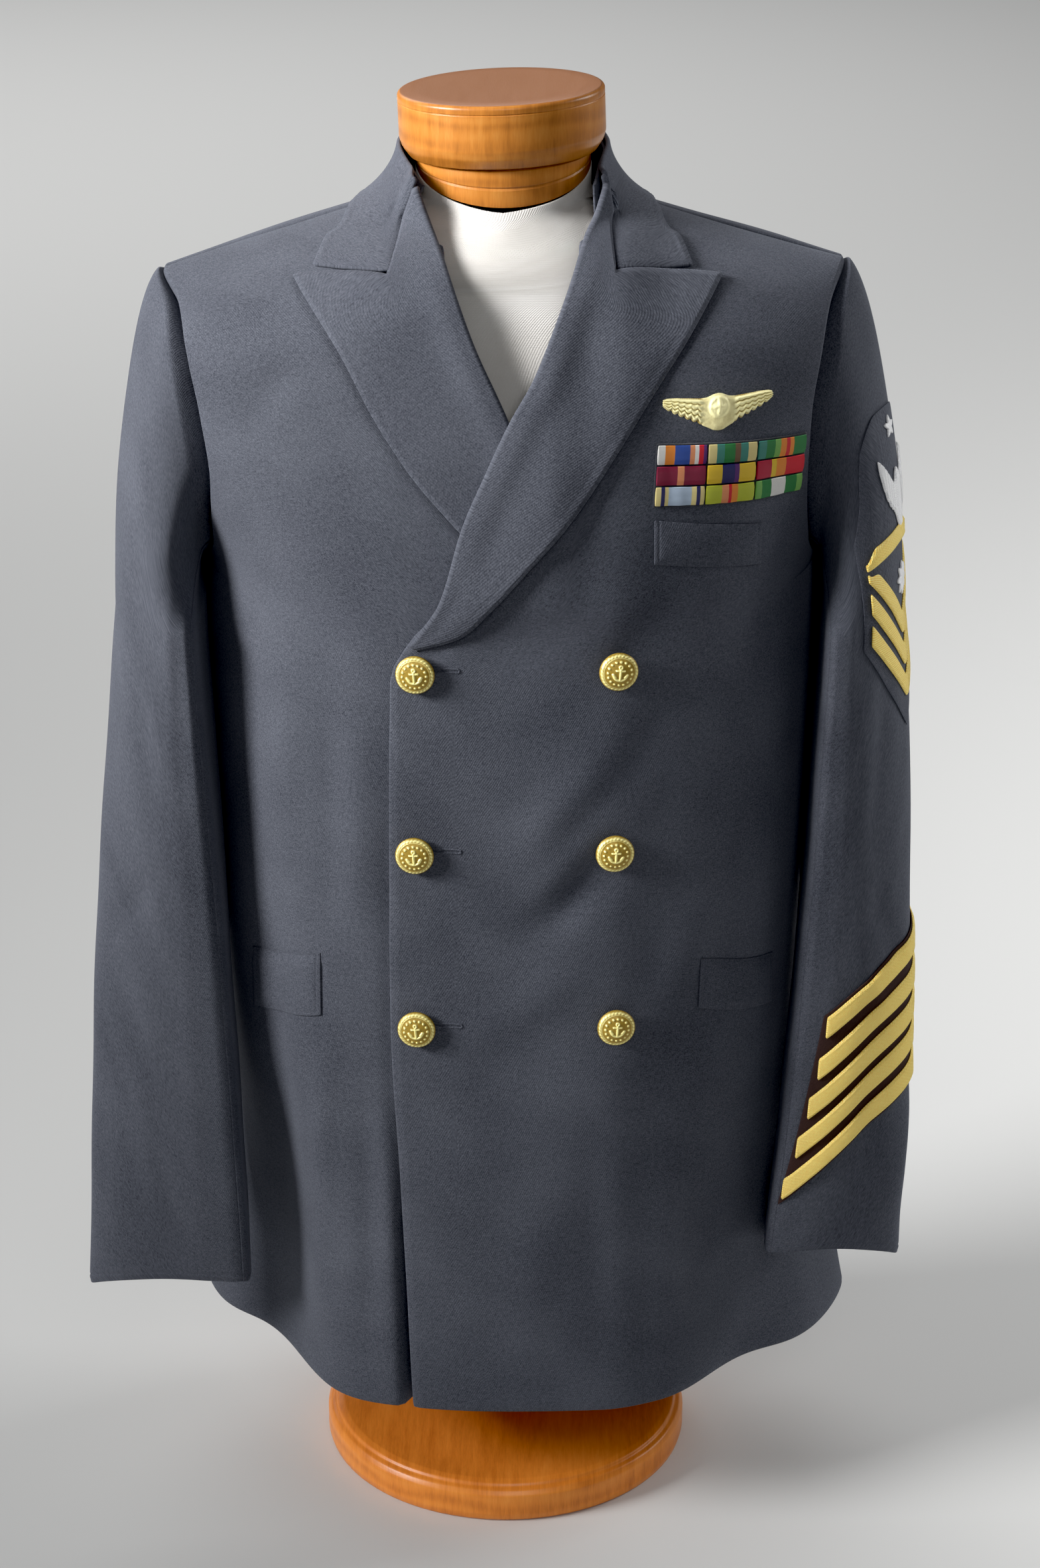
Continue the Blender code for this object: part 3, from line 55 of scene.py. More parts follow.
# sizes that several pieces share
cloth = dict(
    wall=0.0016,        # thickness of a panel
    layer=0.003,        # one layer of cloth over another
    edgeExtra=0.0009,   # a turned edge is this much thicker
    seamDip=0.0007,     # a seam sinks this far
    seamWide=0.002,
)

body = dict(
    neckX=0.07, neckZ=0.813,           # inner end of the shoulder seam
    shoulderX=0.197,                   # its outer end, at the sleeve head
    slopeLeft=0.28, slopeRight=0.325,  # its fall for each unit outward
    shoulderRound=0.058,               # drop in which the shoulder turns upright
    underarmZ=0.6, hemZ=0.093, hemRise=-0.004, backNeckZ=0.805,
)

bodySections = table(
    "z left right front back side* power* apex",
    (80, 223, 195, 129, 122, 3.1, 1.16, 32), (160, 207, 182.5, 131, 124, 2.8, 1.3, 30),
    (250, 184, 171.6, 130, 122, 2.8, 1.85, 30), (350, 182.6, 174.1, 127, 114, 3.2, 2.2, 34),
    (440, 186.2, 176, 126, 110, 3.2, 2.2, 36), (520, 187.2, 177.9, 127, 113, 2.95, 2.2, 36),
    (560, 187.2, 179, 127, 115, 2.8, 2.18, 35), (600, 185.5, 177.5, 127, 117, 2.65, 2.15, 28),
    (680, 198, 196, 121, 116, 2.6, 2.2, 4), (740, 206, 205, 106, 103, 2.6, 2.2, 0),
    (780, 210, 209, 88, 90, 2.55, 2.2, 0), (840, 212, 212, 60, 76, 2.5, 2.2, 0))
skirtFolds = table("x wide deep top", (-152, 30, 52, 300), (150, 34, 28, 280))
neckWrap = table("z radius", (760, 78), (800, 71.5), (815, 67.2), (845, 60))
armholes = dict(
    left=table(
        "z x",
        (600, 185.5), (620, 181), (650, 179.5), (700, 180.5), (740, 186), (760, 190), (777.4, 197)),
    right=table(
        "z x",
        (600, 177.5), (620, 172.5), (660, 172.5), (700, 177.5), (740, 185), (759.3, 188.5), (771.7, 197)),
)

# front edges, which become the fold lines of the lapels
folds = dict(
    left=table(
        "z x",
        (93, -54.5), (250, -60.5), (355, -65), (470, -64), (566, -62), (584.5, -53.4), (612.6, -35.5),
        (656, -22.5), (686.6, -9.2), (712.2, 3.5), (733.8, 16.3), (769.1, 31.5), (804.1, 44.9),
        (829, 53.2)),
    right=table(
        "z x",
        (93, 50), (581, 50), (611, 42), (656, 24), (712.2, 3.5), (752.9, -15.9), (786.2, -29.1),
        (818.7, -42.6), (829, -46.6)),
)
lap = dict(stepFrom=0.06, stepTo=0.095, lapelLow=0.59, lapelFull=0.62, lapelFrom=0.024,
           lapelTo=0.05, lapelFade=0.76, lapelHigh=0.79)

# soft creases and ridges of the body cloth: from one point to another, how wide and how high,
# and how far the line bows sideways
frontCreases = table(
    "x0 z0 x1 z1 wide high bow",
    (-4, 438, 76, 530, 12, 2.4, 4), (2, 410, 98, 512, 12, 2.2, 5), (-6, 394, 90, 468, 12, -2.8, 3),
    (22, 398, 88, 512, 8, -2.2, 4), (20, 452, 100, 556, 10, -2.2, -3), (-30, 330, 60, 392, 12, 1.8, 4),
    (-72, 552, -6, 500, 7, -2, 2), (-68, 534, 4, 492, 7.5, 1.4, 2), (-70, 440, -4, 392, 7.5, -1.8, 3),
    (-66, 420, 12, 372, 8, 1.2, 2), (64, 300, 124, 452, 13, 1.4, -5),
    (106, 300, 146, 480, 11, -1.6, -4), (-127, 390, -122, 600, 10, 2.2, 3),
    (-104, 370, -100, 600, 9, -1.6, -2), (-82, 390, -80, 560, 8, 1.2, 2),
    (-150, 400, -140, 600, 9, -1.4, 3), (-138, 90, -136, 480, 15, -6, 2),
    (-112, 100, -104, 360, 8, 2.6, 2), (-84, 95, -84, 330, 8, -2.4, -2), (12, 95, 24, 260, 15, 1.4, 3),
    (66, 95, 52, 300, 13, -1.6, 4), (108, 100, 96, 280, 12, 2, 3), (50, 560, 110, 622, 10, -1.2, 2),
    (-150, 690, -110, 745, 10, -1.2, 3), (140, 700, 165, 640, 9, -1.2, 2))
backCreases = table(
    "x0 z0 x1 z1 wide high bow",
    (-66, 100, -52, 340, 12, 3.4, 4), (-26, 100, -30, 260, 12, -2.2, -3),
    (70, 95, 56, 380, 13, -3.2, 3), (104, 100, 90, 320, 11, 3, 3), (142, 100, 132, 280, 12, -2.6, 3),
    (-112, 100, -100, 330, 13, -3.2, 4), (-146, 100, -138, 260, 11, 2.2, 3),
    (-150, 540, -50, 430, 10, -2.8, 4), (-146, 500, -64, 405, 9, 2.2, 4),
    (150, 560, 46, 446, 11, -3, -4), (140, 500, 58, 420, 9, 2, -3), (-156, 610, -112, 735, 11, 2.6, 4),
    (160, 610, 118, 740, 12, 2.8, -4), (140, 600, 98, 700, 10, -1.8, -3),
    (-60, 400, 60, 405, 10, -2.2, 4), (-50, 740, 50, 738, 12, -1.6, -6))


def mix(a, b, t):
    return a + (b - a) * t


def ease(low, high, at):
    # 0 below the first value, 1 above the second, and smooth between them.
    t = np.clip((np.asarray(at, float) - low) / (high - low), 0, 1)
    return t * t * (3 - 2 * t)


def fade(low, high, at):
    return 1 - ease(low, high, at)


def bell(at, wide):
    # 1 at 0, falling softly to almost nothing at twice the width.
    return np.exp(-(at / wide) ** 2)


def curve(rows, column, at, key="z"):
    # Smooth value of a column between the rows of a table, with no overshoot.
    keys, values = rows[key], rows[column]
    at = np.clip(np.asarray(at, float), keys[0], keys[-1])
    spans = np.diff(keys)
    steps = np.diff(values) / spans
    slopes = np.concatenate((steps[:1], steps[:-1], steps[-1:]))
    before, after = steps[:-1], steps[1:]
    same = before * after > 0
    total = np.where(same, before + after, 1.0)
    slopes[1:-1] = np.where(same, 2 * before * after / total, 0.0)
    i = np.clip(np.searchsorted(keys, at, "right") - 1, 0, len(spans) - 1)
    t = (at - keys[i]) / spans[i]
    return ((1 + 2 * t) * (1 - t) ** 2 * values[i] + t * (1 - t) ** 2 * spans[i] * slopes[i]
            + t * t * (3 - 2 * t) * values[i + 1] + t * t * (t - 1) * spans[i] * slopes[i + 1])


def curves(rows, columns, at, key="z"):
    return [curve(rows, column, at, key) for column in columns.split()]


def pair(a, b):
    return np.broadcast_arrays(np.asarray(a, float), np.asarray(b, float))


def vec(x, y, z):
    return np.stack(np.broadcast_arrays(x, y, z), axis=-1).astype(float)


def unit(v):
    return v / np.maximum(np.linalg.norm(v, axis=-1, keepdims=True), 1e-12)


def along(amount):
    # A height for each point, ready to multiply its direction.
    return np.asarray(amount, float)[..., None]


def spaced(count, crowd=0.0):
    # Shares from 0 to 1 that crowd towards both ends.
    s = np.linspace(0, 1, count + 1)
    return s - crowd * np.sin(2 * np.pi * s) / (2 * np.pi)


# the body surface

def shoulderSlope(x):
    return mix(body["slopeRight"], body["slopeLeft"], ease(-body["neckX"], body["neckX"], x))


def shoulderZ(x):
    return body["neckZ"] - shoulderSlope(x) * (np.abs(x) - body["neckX"])


def bodyAt(column, z):
    return curve(bodySections, column, z)


def bodyX(angle, z):
    c = np.cos(angle)
    half = np.where(c >= 0, bodyAt("left", z), bodyAt("right", z))
    return np.copysign(half * np.abs(c) ** (2 / bodyAt("side", z)), c)


def skirtFold(x, z):
    depth = np.zeros(np.broadcast(x, z).shape)
    for at, wide, deep, top in zip(*skirtFolds.values()):
        depth += deep * fade(body["hemZ"], top, z) * bell(x - at, wide)
    return depth


def bodyPoint(angle, z):
    # Angle 0 is the wearer's left side, -90 degrees the middle of the front.
    angle, z = pair(angle, z)
    x, s = bodyX(angle, z), np.sin(angle)
    reach = np.where(s < 0, bodyAt("front", z), bodyAt("back", z))
    reach = reach * np.abs(s) ** (2 / bodyAt("power", z))
    sunk = np.where(s < 0, skirtFold(x, z), 0)  # it fades where the side seam is near
    reach = reach * np.exp(-1.1 * sunk / np.maximum(reach, 0.0005))
    drop = np.clip((shoulderZ(x) - z) / body["shoulderRound"], 0, 1)
    reach = reach * np.sqrt(1 - (1 - drop) ** 2)
    wrap = curve(neckWrap, "radius", z)
    inside = wrap - np.abs(x)
    blend = 0.008 * ease(0.0, 0.012, inside) * ease(0.7, 0.77, z)
    cone = np.sqrt(np.maximum(wrap ** 2 - x * x, 0)) * ease(0.7, 0.78, z)
    joined = 0.5 * (reach + cone + np.sqrt((reach - cone) ** 2 + blend ** 2))
    reach = np.where(inside > 0, joined, reach)
    forward = np.where(s < 0, np.abs(s), np.abs(s) ** (2 / bodyAt("power", z)))
    return vec(x, np.copysign(reach, s) + bodyAt("apex", z) * (1 - forward), z)


def bodyNormal(angle, z):
    turn, lift = 0.02, 0.0005
    across = bodyPoint(angle + turn, z) - bodyPoint(angle - turn, z)
    upward = bodyPoint(angle, z + lift) - bodyPoint(angle, z - lift)
    return unit(np.cross(across, upward))


def angleOf(x, z, front=True):
    half = np.where(np.asarray(x) >= 0, bodyAt("left", z), bodyAt("right", z))
    c = np.copysign(np.minimum(1, np.abs(x) / half) ** (bodyAt("side", z) / 2), x)
    return np.where(front, -np.arccos(c), np.arccos(c))


def ridgeNormal(x):
    # Direction away from the shoulder seam.
    return unit(vec(np.copysign(shoulderSlope(x), x), 0, 1))


def creaseLine(right, up, run, rise, wide, high, bow=0.0):
    # A soft ridge or trough that runs this far and fades at both ends; places are from its start.
    length = math.hypot(run, rise)
    t = (right * run + up * rise) / length ** 2
    aside = (up * run - right * rise) / length - bow * np.sin(np.pi * np.clip(t, 0, 1))
    return high * ease(0, 0.35, t) * fade(0.65, 1, t) * bell(aside, wide)


def slackness(x, z):
    # Broad, shallow unevenness of hanging cloth.
    return 0.0005 * (np.sin(41 * x + 17 * z + 0.6) * np.sin(23 * z - 9 * x)
                     + 0.6 * np.sin(67 * x - 31 * z + 1.9) * np.sin(37 * z + 2.1))


def bodyCrease(x, z, front=True):
    height = slackness(x, z + (0 if front else 0.37))
    for x0, z0, x1, z1, wide, high, bow in zip(*(frontCreases if front else backCreases).values()):
        height = height + creaseLine(x - x0, z - z0, x1 - x0, z1 - z0, wide, high, bow)
    return height


def frontNormals(x, z):
    return bodyNormal(angleOf(x, z), z)


def onFront(x, z, lift=0.0):
    x, z = pair(x, z)
    return bodyPoint(angleOf(x, z), z) + frontNormals(x, z) * along(lift + bodyCrease(x, z))


def leftFrontLift(x, z):
    # The left front lies over the right front, and over the right lapel at the crossing.
    overFront = fade(lap["stepFrom"], lap["stepTo"], x)
    overLapel = ease(lap["lapelLow"], lap["lapelFull"], z) * fade(lap["lapelFrom"], lap["lapelTo"], x)
    return cloth["layer"] * (overFront + overLapel * fade(lap["lapelFade"], lap["lapelHigh"], z))


# meshes

def gridNormals(grid):
    return unit(np.cross(np.gradient(grid, axis=1), np.gradient(grid, axis=0)))


def turned(normals, away):
    # The normals on the side that looks this way.
    return normals * np.sign((normals * away).sum())


def gridFaces(rows, columns):
    index = np.arange(rows * columns).reshape(rows, columns)
    corners = (index[:-1, :-1], index[:-1, 1:], index[1:, 1:], index[1:, :-1])
    return np.stack(corners, axis=-1).reshape(-1, 4)


def lengths(grid, axis):
    # Distance along the rows or columns of a grid from their start.
    steps = np.linalg.norm(np.diff(grid, axis=axis), axis=-1)
    pad = [(0, 0), (0, 0)]
    pad[axis] = (1, 0)
    return np.cumsum(np.pad(steps, pad), axis=axis)


def edgeDistances(grid):
    across, up = lengths(grid, 1), lengths(grid, 0)
    return dict(first=across, last=across[:, -1:] - across, bottom=up, top=up[-1:] - up)


def newObject(name, mesh, material):
    piece = bpy.data.objects.new(name, mesh)
    bpy.context.scene.collection.objects.link(piece)
    mesh.materials.append(material)
    return piece


def meshFrom(name, points, faces, uv):
    mesh = bpy.data.meshes.new(name)
    mesh.from_pydata(np.asarray(points, float).tolist(), [], faces)
    layer = mesh.uv_layers.new(name="cloth")
    corner = np.zeros(len(mesh.loops), np.int32)
    mesh.loops.foreach_get("vertex_index", corner)
    layer.data.foreach_set("uv", np.asarray(uv, np.float32)[corner].ravel())
    mesh.shade_smooth()
    return mesh


finishes = {}           # material and slot by a plain word


def addPiece(name, mesh, finish, node=None):
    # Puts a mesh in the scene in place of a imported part, which has the piece's name unless given.
    material, slot = finishes[finish]
    piece = newObject(name, mesh, material)
    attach(piece, "root")
    node = name if node is None else node
    if node:
        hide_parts(node)


allEdges = ("first", "last", "top", "bottom")


def shell(name, outer, normals, wall, finish, free=allEdges, uv=None, rim=4, node=None):
    # Thin wall under a grid of points, with rounded free edges and square seam edges.
    rows, columns = outer.shape[:2]
    count = rows * columns
    index = np.arange(count).reshape(rows, columns)
    loop = np.concatenate((index[0, :-1], index[:-1, -1], index[-1, :0:-1], index[:0:-1, 0]))
    sides = dict(bottom=index[0], last=index[:, -1], top=index[-1], first=index[:, 0])
    if uv is None:
        uv = np.stack((lengths(outer, 1), lengths(outer, 0)), axis=-1)
    flat, flatNormals, flatUv = (grid.reshape(count, -1) for grid in (outer, normals, uv))
    wall = np.broadcast_to(wall, (rows, columns)).reshape(-1)
    isFree = np.zeros(count)
    for side in free:
        isFree[sides[side]] = 1
    tangent = flat[np.roll(loop, -1)] - flat[np.roll(loop, 1)]
    out = turned(unit(np.cross(tangent, flatNormals[loop])), flat[loop] - outer[3:-3, 3:-3].mean((0, 1)))
    bulge = wall[loop] * 0.5 * isFree[loop]

    points, uvs, rings = [flat, flat - flatNormals * along(wall)], [flatUv, flatUv], [loop]
    for k in range(rim):
        turn = math.pi * (k + 1) / (rim + 1)
        depth = wall[loop] * (1 - math.cos(turn)) / 2
        rings.append(np.arange(len(loop)) + 2 * count + k * len(loop))
        points.append(flat[loop] - flatNormals[loop] * along(depth) + out * along(bulge * math.sin(turn)))
        uvs.append(flatUv[loop])
    rings.append(loop + count)

    quads = gridFaces(rows, columns)
    faces = [quads, quads[:, ::-1] + count]
    faces += [np.stack((np.roll(a, -1), a, b, np.roll(b, -1)), axis=-1) for a, b in zip(rings, rings[1:])]
    faces = np.concatenate(faces)
    i, j = rows // 2, columns // 2
    facing = np.cross(outer[i, j + 1] - outer[i, j], outer[i + 1, j] - outer[i, j])
    if np.dot(facing, normals[i, j]) < 0:
        faces = faces[:, ::-1]
    mesh = meshFrom(name, np.concatenate(points), faces.tolist(), np.concatenate(uvs))
    addPiece(name, mesh, finish, node)


def closedRings(name, rings, ends, finish, node=None, uv=None, matrix=None):
    # A solid from rings of points, closed by a point at each end.
    rows, steps = rings.shape[:2]
    points = np.concatenate((rings.reshape(-1, 3), ends))
    index = np.arange(rows * steps).reshape(rows, steps)
    after = np.roll(index, -1, axis=1)
    quads = np.stack((index[:-1], index[1:], after[1:], after[:-1]), -1).reshape(-1, 4)
    faces = quads.tolist()
    faces += [(rows * steps, a, b) for a, b in zip(index[0], after[0])]
    faces += [(rows * steps + 1, b, a) for a, b in zip(index[-1], after[-1])]
    uv = points[:, 1:] if uv is None else uv
    if matrix is not None:
        turn = np.array(matrix)
        points = points @ turn[:3, :3].T + turn[:3, 3]
    a, b, c, d = (points[quads[:, k]] for k in range(4))
    if (np.cross(c - a, d - b) * (a - points.mean(0))).sum() < 0:
        faces = [face[::-1] for face in faces]
    addPiece(name, meshFrom(name, points, faces, uv), finish, node)


# materials

class Maker:
    # Adds and joins the nodes of one material; a socket's name has _ for each space.
    def __init__(self, name):
        self.material = bpy.data.materials.new(name)
        self.material.use_nodes = True
        self.tree = self.material.node_tree
        self.shader = self.tree.nodes["Principled BSDF"]

    def feed(self, node, **inputs):
        for key, value in inputs.items():
            name = key.replace("_", " ").strip()
            target = node.inputs[int(name) if name.isdigit() else name]
            if isinstance(value, bpy.types.NodeSocket):
                self.tree.links.new(value, target)
            else:
                target.default_value = value

    def node(self, kind, settings=(), **inputs):
        node = self.tree.nodes.new(kind)
        for key, value in dict(settings).items():
            setattr(node, key, value)
        self.feed(node, **inputs)
        return node

    def shade(self, **inputs):
        # Sets the shader's own sockets and gives the material.
        self.feed(self.shader, **inputs)
        return self.material

    def coords(self, kind="UV"):
        return self.node("ShaderNodeTexCoord").outputs[kind]

    def part(self, vector, axis):
        return self.node("ShaderNodeSeparateXYZ", Vector=vector).outputs[axis]

    def scaled(self, vector, scale, turn=0.0):
        return self.node("ShaderNodeMapping", Vector=vector, Scale=scale, Rotation=(0, 0, turn)).outputs[0]

    def noise(self, vector, scale, detail=3.0, rough=0.55):
        return self.node("ShaderNodeTexNoise", Vector=vector, Scale=scale, Detail=detail,
                         Roughness=rough).outputs["Fac"]

    def wave(self, vector, scale, distortion=0.0, direction="X"):
        return self.node("ShaderNodeTexWave", dict(bands_direction=direction), Vector=vector, Scale=scale,
                         Distortion=distortion, Detail_Scale=1.5).outputs["Fac"]

    def threads(self, vector, pitch, distortion, degrees=0.0, direction="X"):
        # Lines this far apart, turned by an angle.
        if degrees:
            vector = self.scaled(vector, (1, 1, 1), math.radians(degrees))
        return self.wave(vector, 1 / pitch / 3.1, distortion, direction)

    def ramp(self, value, stops, mode="LINEAR"):
        node = self.node("ShaderNodeValToRGB", Fac=value)
        node.color_ramp.interpolation = mode
        elements = node.color_ramp.elements
        while len(elements) < len(stops):
            elements.new(0.5)
        for element, (place, colour) in zip(elements, stops):
            element.position = place
            element.color = (*colour, 1.0)
        return node.outputs["Color"]

    def math(self, operation, a, b):
        return self.node("ShaderNodeMath", dict(operation=operation), _0=a, _1=b).outputs["Value"]

    def total(self, *parts):
        # Sum of values, each times its weight.
        values = [self.math("MULTIPLY", value, weight) for value, weight in parts]
        result = values[0]
        for value in values[1:]:
            result = self.math("ADD", result, value)
        return result

    def spread(self, value, low, high):
        return self.node("ShaderNodeMapRange", Value=value, To_Min=low, To_Max=high).outputs["Result"]

    def bumps(self, *layers):
        # One bump over another: the height, distance and strength of each.
        below = {}
        for height, distance, strength in layers:
            bump = self.node("ShaderNodeBump", Height=height, Distance=distance, Strength=strength, **below)
            below = dict(Normal=bump.outputs["Normal"])
        return bump.outputs["Normal"]


wool = dict(
    dark=(0.012, 0.014, 0.022), light=(0.125, 0.133, 0.16),
    twill=0.0012,       # from one twill line to the next
    speck=0.0009,       # size of the mottled nap
    clump=0.0026,       # and of its thicker places
)


def woolMaterial():
    m = Maker("blackWool")
    uv = m.coords()
    nap = m.noise(uv, 1 / wool["speck"], 4, 0.65)
    clumps = m.noise(uv, 1 / wool["clump"], 3, 0.6)
    broad = m.noise(uv, 14, 3, 0.5)
    twill = m.threads(uv, wool["twill"], 1.2, 28)
    thread = m.noise(m.scaled(uv, (1, 3.2, 1)), 900, 2, 0.6)
    tone = m.total((nap, 0.6), (clumps, 0.2), (broad, 0.2))
    return m.shade(Base_Color=m.ramp(tone, [(0.33, wool["dark"]), (0.67, wool["light"])]),
                   Roughness=m.spread(nap, 0.82, 0.96), Specular_IOR_Level=0.25, Sheen_Weight=0.12,
                   Sheen_Roughness=0.5, Sheen_Tint=(0.75, 0.8, 0.95, 1),
                   Normal=m.bumps((twill, 0.0001, 0.7), (thread, 0.00008, 0.5), (nap, 0.00005, 0.4)))


def jerseyMaterial():
    m = Maker("whiteJersey")
    uv = m.coords()
    rib = m.threads(uv, 0.0016, 0.6)
    cross = m.threads(uv, 0.0013, 0.8, direction="Y")
    fuzz = m.noise(uv, 420, 3, 0.6)
    stain = m.noise(uv, 18, 3, 0.5)
    return m.shade(Base_Color=m.ramp(stain, [(0.25, (0.54, 0.515, 0.48)), (0.75, (0.65, 0.635, 0.61))]),
                   Roughness=m.spread(fuzz, 0.85, 1.0), Sheen_Weight=0.15,
                   Normal=m.bumps((rib, 0.0002, 0.5), (cross, 0.00012, 0.4), (fuzz, 0.00015, 0.3)))


def woodMaterial(name, light, middle, dark, paintedTopShade=0.0):
    # The grain runs across the front. Faces that look up can be made darker: painted shade on the top.
    m = Maker(name)
    at = m.coords("Object")
    rings = m.wave(m.scaled(at, (1.0, 0.5, 3.0), 0.3), 9.0, 6.0, "Z")
    grain = m.noise(m.scaled(at, (26.0, 3.0, 3.0)), 9.0, 6, 0.6)
    pores = m.noise(m.scaled(at, (700, 60, 60)), 1.6, 3, 0.7)
    # faces that look up, which get the painted shade on the top
    upward = m.math("GREATER_THAN", m.part(m.coords("Normal"), "Z"), 0.9)
    tone = m.total((m.spread(grain, 0.22, 0.62), 1.0), (rings, 0.12), (m.math("SUBTRACT", pores, 0.46), 0.28),
                   (upward, -paintedTopShade))
    return m.shade(Base_Color=m.ramp(tone, [(0.25, dark), (0.5, middle), (0.78, light)]),
                   Roughness=m.spread(grain, 0.28, 0.42), Specular_IOR_Level=0.35, Coat_Weight=0.08,
                   Coat_Roughness=0.25, Normal=m.bumps((pores, 0.00015, 0.35)))


def gildMaterial(name, colour, dull, metal):
    # The first texture coordinate is how far a place is raised: recesses are darker.
    m = Maker(name)
    at = m.coords("Object")
    wear = m.noise(at, 260, 4, 0.6)
    hammered = m.noise(at, 900, 3, 0.6)
    tone = m.total((wear, 0.35), (m.part(m.coords(), "X"), 0.75))
    low = (colour[0] * 0.36, colour[1] * 0.26, colour[2] * 0.1)
    return m.shade(Base_Color=m.ramp(tone, [(0.22, low), (0.56, colour)]), Metallic=metal,
                   Roughness=m.spread(wear, dull, dull + 0.2), Normal=m.bumps((hammered, 0.00025, 0.6)))


def laceMaterial(name, bright, deep):
    # Wire lace: fine diagonal stitches both ways.
    m = Maker(name)
    uv = m.coords()
    stitch, other = m.threads(uv, 0.0011, 1.5, 52), m.threads(uv, 0.0016, 1.0, -52)
    speck = m.noise(uv, 700, 3, 0.6)
    tone = m.total((stitch, 0.45), (speck, 0.55))
    return m.shade(Base_Color=m.ramp(tone, [(0.25, deep), (0.62, bright)]),
                   Roughness=m.spread(speck, 0.38, 0.62), Sheen_Weight=0.8, Sheen_Roughness=0.45,
                   Sheen_Tint=(*bright, 1), Normal=m.bumps((stitch, 0.0003, 0.6), (other, 0.0002, 0.4)))


def ribbonMaterial(name, stripes):
    # Corded silk with woven stripes: each stripe starts at a share of the width. The cords darken the colour
    # between them, as painted shade.
    m = Maker(name)
    uv = m.coords()
    cords = m.wave(uv, 14, 0.3, "Y")
    # the stripe colour times the cords: painted shade in the grooves between the cords
    shade = m.node("ShaderNodeMix", dict(data_type="RGBA", blend_type="MULTIPLY"), Factor=1.0,
                   _6=m.ramp(m.part(uv, "X"), stripes, "CONSTANT"),
                   _7=m.ramp(cords, [(0.1, (0.62, 0.62, 0.62)), (0.6, (1.0, 1.0, 1.0))]))
    return m.shade(Base_Color=shade.outputs[2], Roughness=0.55, Sheen_Weight=0.03,
                   Normal=m.bumps((cords, 0.0003, 0.7)))


def feltMaterial(name, grain, dark, light, sheen=0.0, deep=0.0):
    m = Maker(name)
    fuzz = m.noise(m.coords(), grain, 4, 0.7)
    if deep:
        m.shade(Normal=m.bumps((fuzz, deep, 0.8)))
    return m.shade(Base_Color=m.ramp(fuzz, [(0.3, dark), (0.7, light)]), Roughness=0.95, Sheen_Weight=sheen)


# the neck block's last number darkens its top: painted shade
blockWood = woodMaterial("blockWood", (0.56, 0.255, 0.058), (0.43, 0.16, 0.028), (0.22, 0.075, 0.015), 0.36)
baseWood = woodMaterial("baseWood", (0.9, 0.36, 0.075), (0.74, 0.245, 0.042), (0.46, 0.125, 0.022))
badgeFelt = feltMaterial("badgeFelt", 800, (0.012, 0.014, 0.02), (0.032, 0.035, 0.046), 0.3, 0.0003)
stripeFelt = feltMaterial("stripeFelt", 700, (0.022, 0.01, 0.01), (0.05, 0.024, 0.02))
woolCloth = woolMaterial()
finishes.update(
    wool=(woolCloth, "black_wool"), rankWool=(woolCloth, "badge_felt"),
    jersey=(jerseyMaterial(), "white_jersey"), board=(baseWood, "white_jersey"),
    blockWood=(blockWood, "varnished_wood"), baseWood=(baseWood, "varnished_wood"),
    buttonGilt=(gildMaterial("gilt", (1.0, 0.9, 0.36), 0.3, 0.18), "gilt_brass"),
    badgeGilt=(gildMaterial("badgeGilt", (1.0, 0.93, 0.5), 0.36, 0.12), "gilt_badge"),
    gold=(laceMaterial("goldLace", (1.0, 0.84, 0.26), (0.94, 0.54, 0.07)), "gold_thread"),
    silver=(laceMaterial("silverThread", (1.0, 1.0, 1.0), (0.92, 0.93, 0.96)), "silver_thread"),
    rackFelt=(badgeFelt, "ribbon_bar"), stripeFelt=(stripeFelt, "badge_felt"),
)
print("materials made")

# fronts and backs

panels = dict(
    skirtRows=100, armholeRows=92, frontColumns=110, backColumns=72,
    foldTop=0.8,        # above this a front's edge leaves its fold line for the end of the shoulder
    rollInset=0.0025,   # a front stops short of its fold line by this, inside the lapel's roll
)
cadRows = dict(skirt=9, armhole=10, backNeck=3)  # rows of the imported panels
signs = dict(left=1, right=-1)


def rowShares():
    # 0 at the hem, 1 at the underarm and 2 at the neck, closer together near the underarm.
    s = np.linspace(0, 1, panels["skirtRows"] + 1)
    skirt = s - 0.75 * np.sin(np.pi * s) / np.pi
    return np.concatenate((skirt, 1 + np.linspace(0, 1, panels["armholeRows"] + 1)[1:]))[:, None]


def armholePlace(w, side):
    top = shoulderZ(signs[side] * body["shoulderX"])
    z = body["underarmZ"] + (top - body["underarmZ"]) * (1 - np.cos(np.pi * w)) / 2
    return curve(armholes[side], "x", z), z


def frontEdgeX(z, side):
    top, sign = panels["foldTop"], signs[side]
    share = np.clip((z - top) / (body["neckZ"] - top), 0, 1) ** 0.8
    above = mix(curve(folds[side], "x", top), sign * body["neckX"], share)
    x = np.where(z <= top, curve(folds[side], "x", z), above)
    return x + sign * panels["rollInset"] * ease(0.588, 0.598, z) * fade(0.79, 0.8, z)


def outerEdge(side, front, r):
    seam = 0.0 if side == "left" else (-math.pi if front else math.pi)
    x, z = armholePlace(np.clip(r - 1, 0, 1), side)
    hem = body["hemZ"] + body["hemRise"]
    return (np.where(r <= 1, seam, angleOf(signs[side] * x, z, front)),
            np.where(r <= 1, mix(hem, body["underarmZ"], r), z))


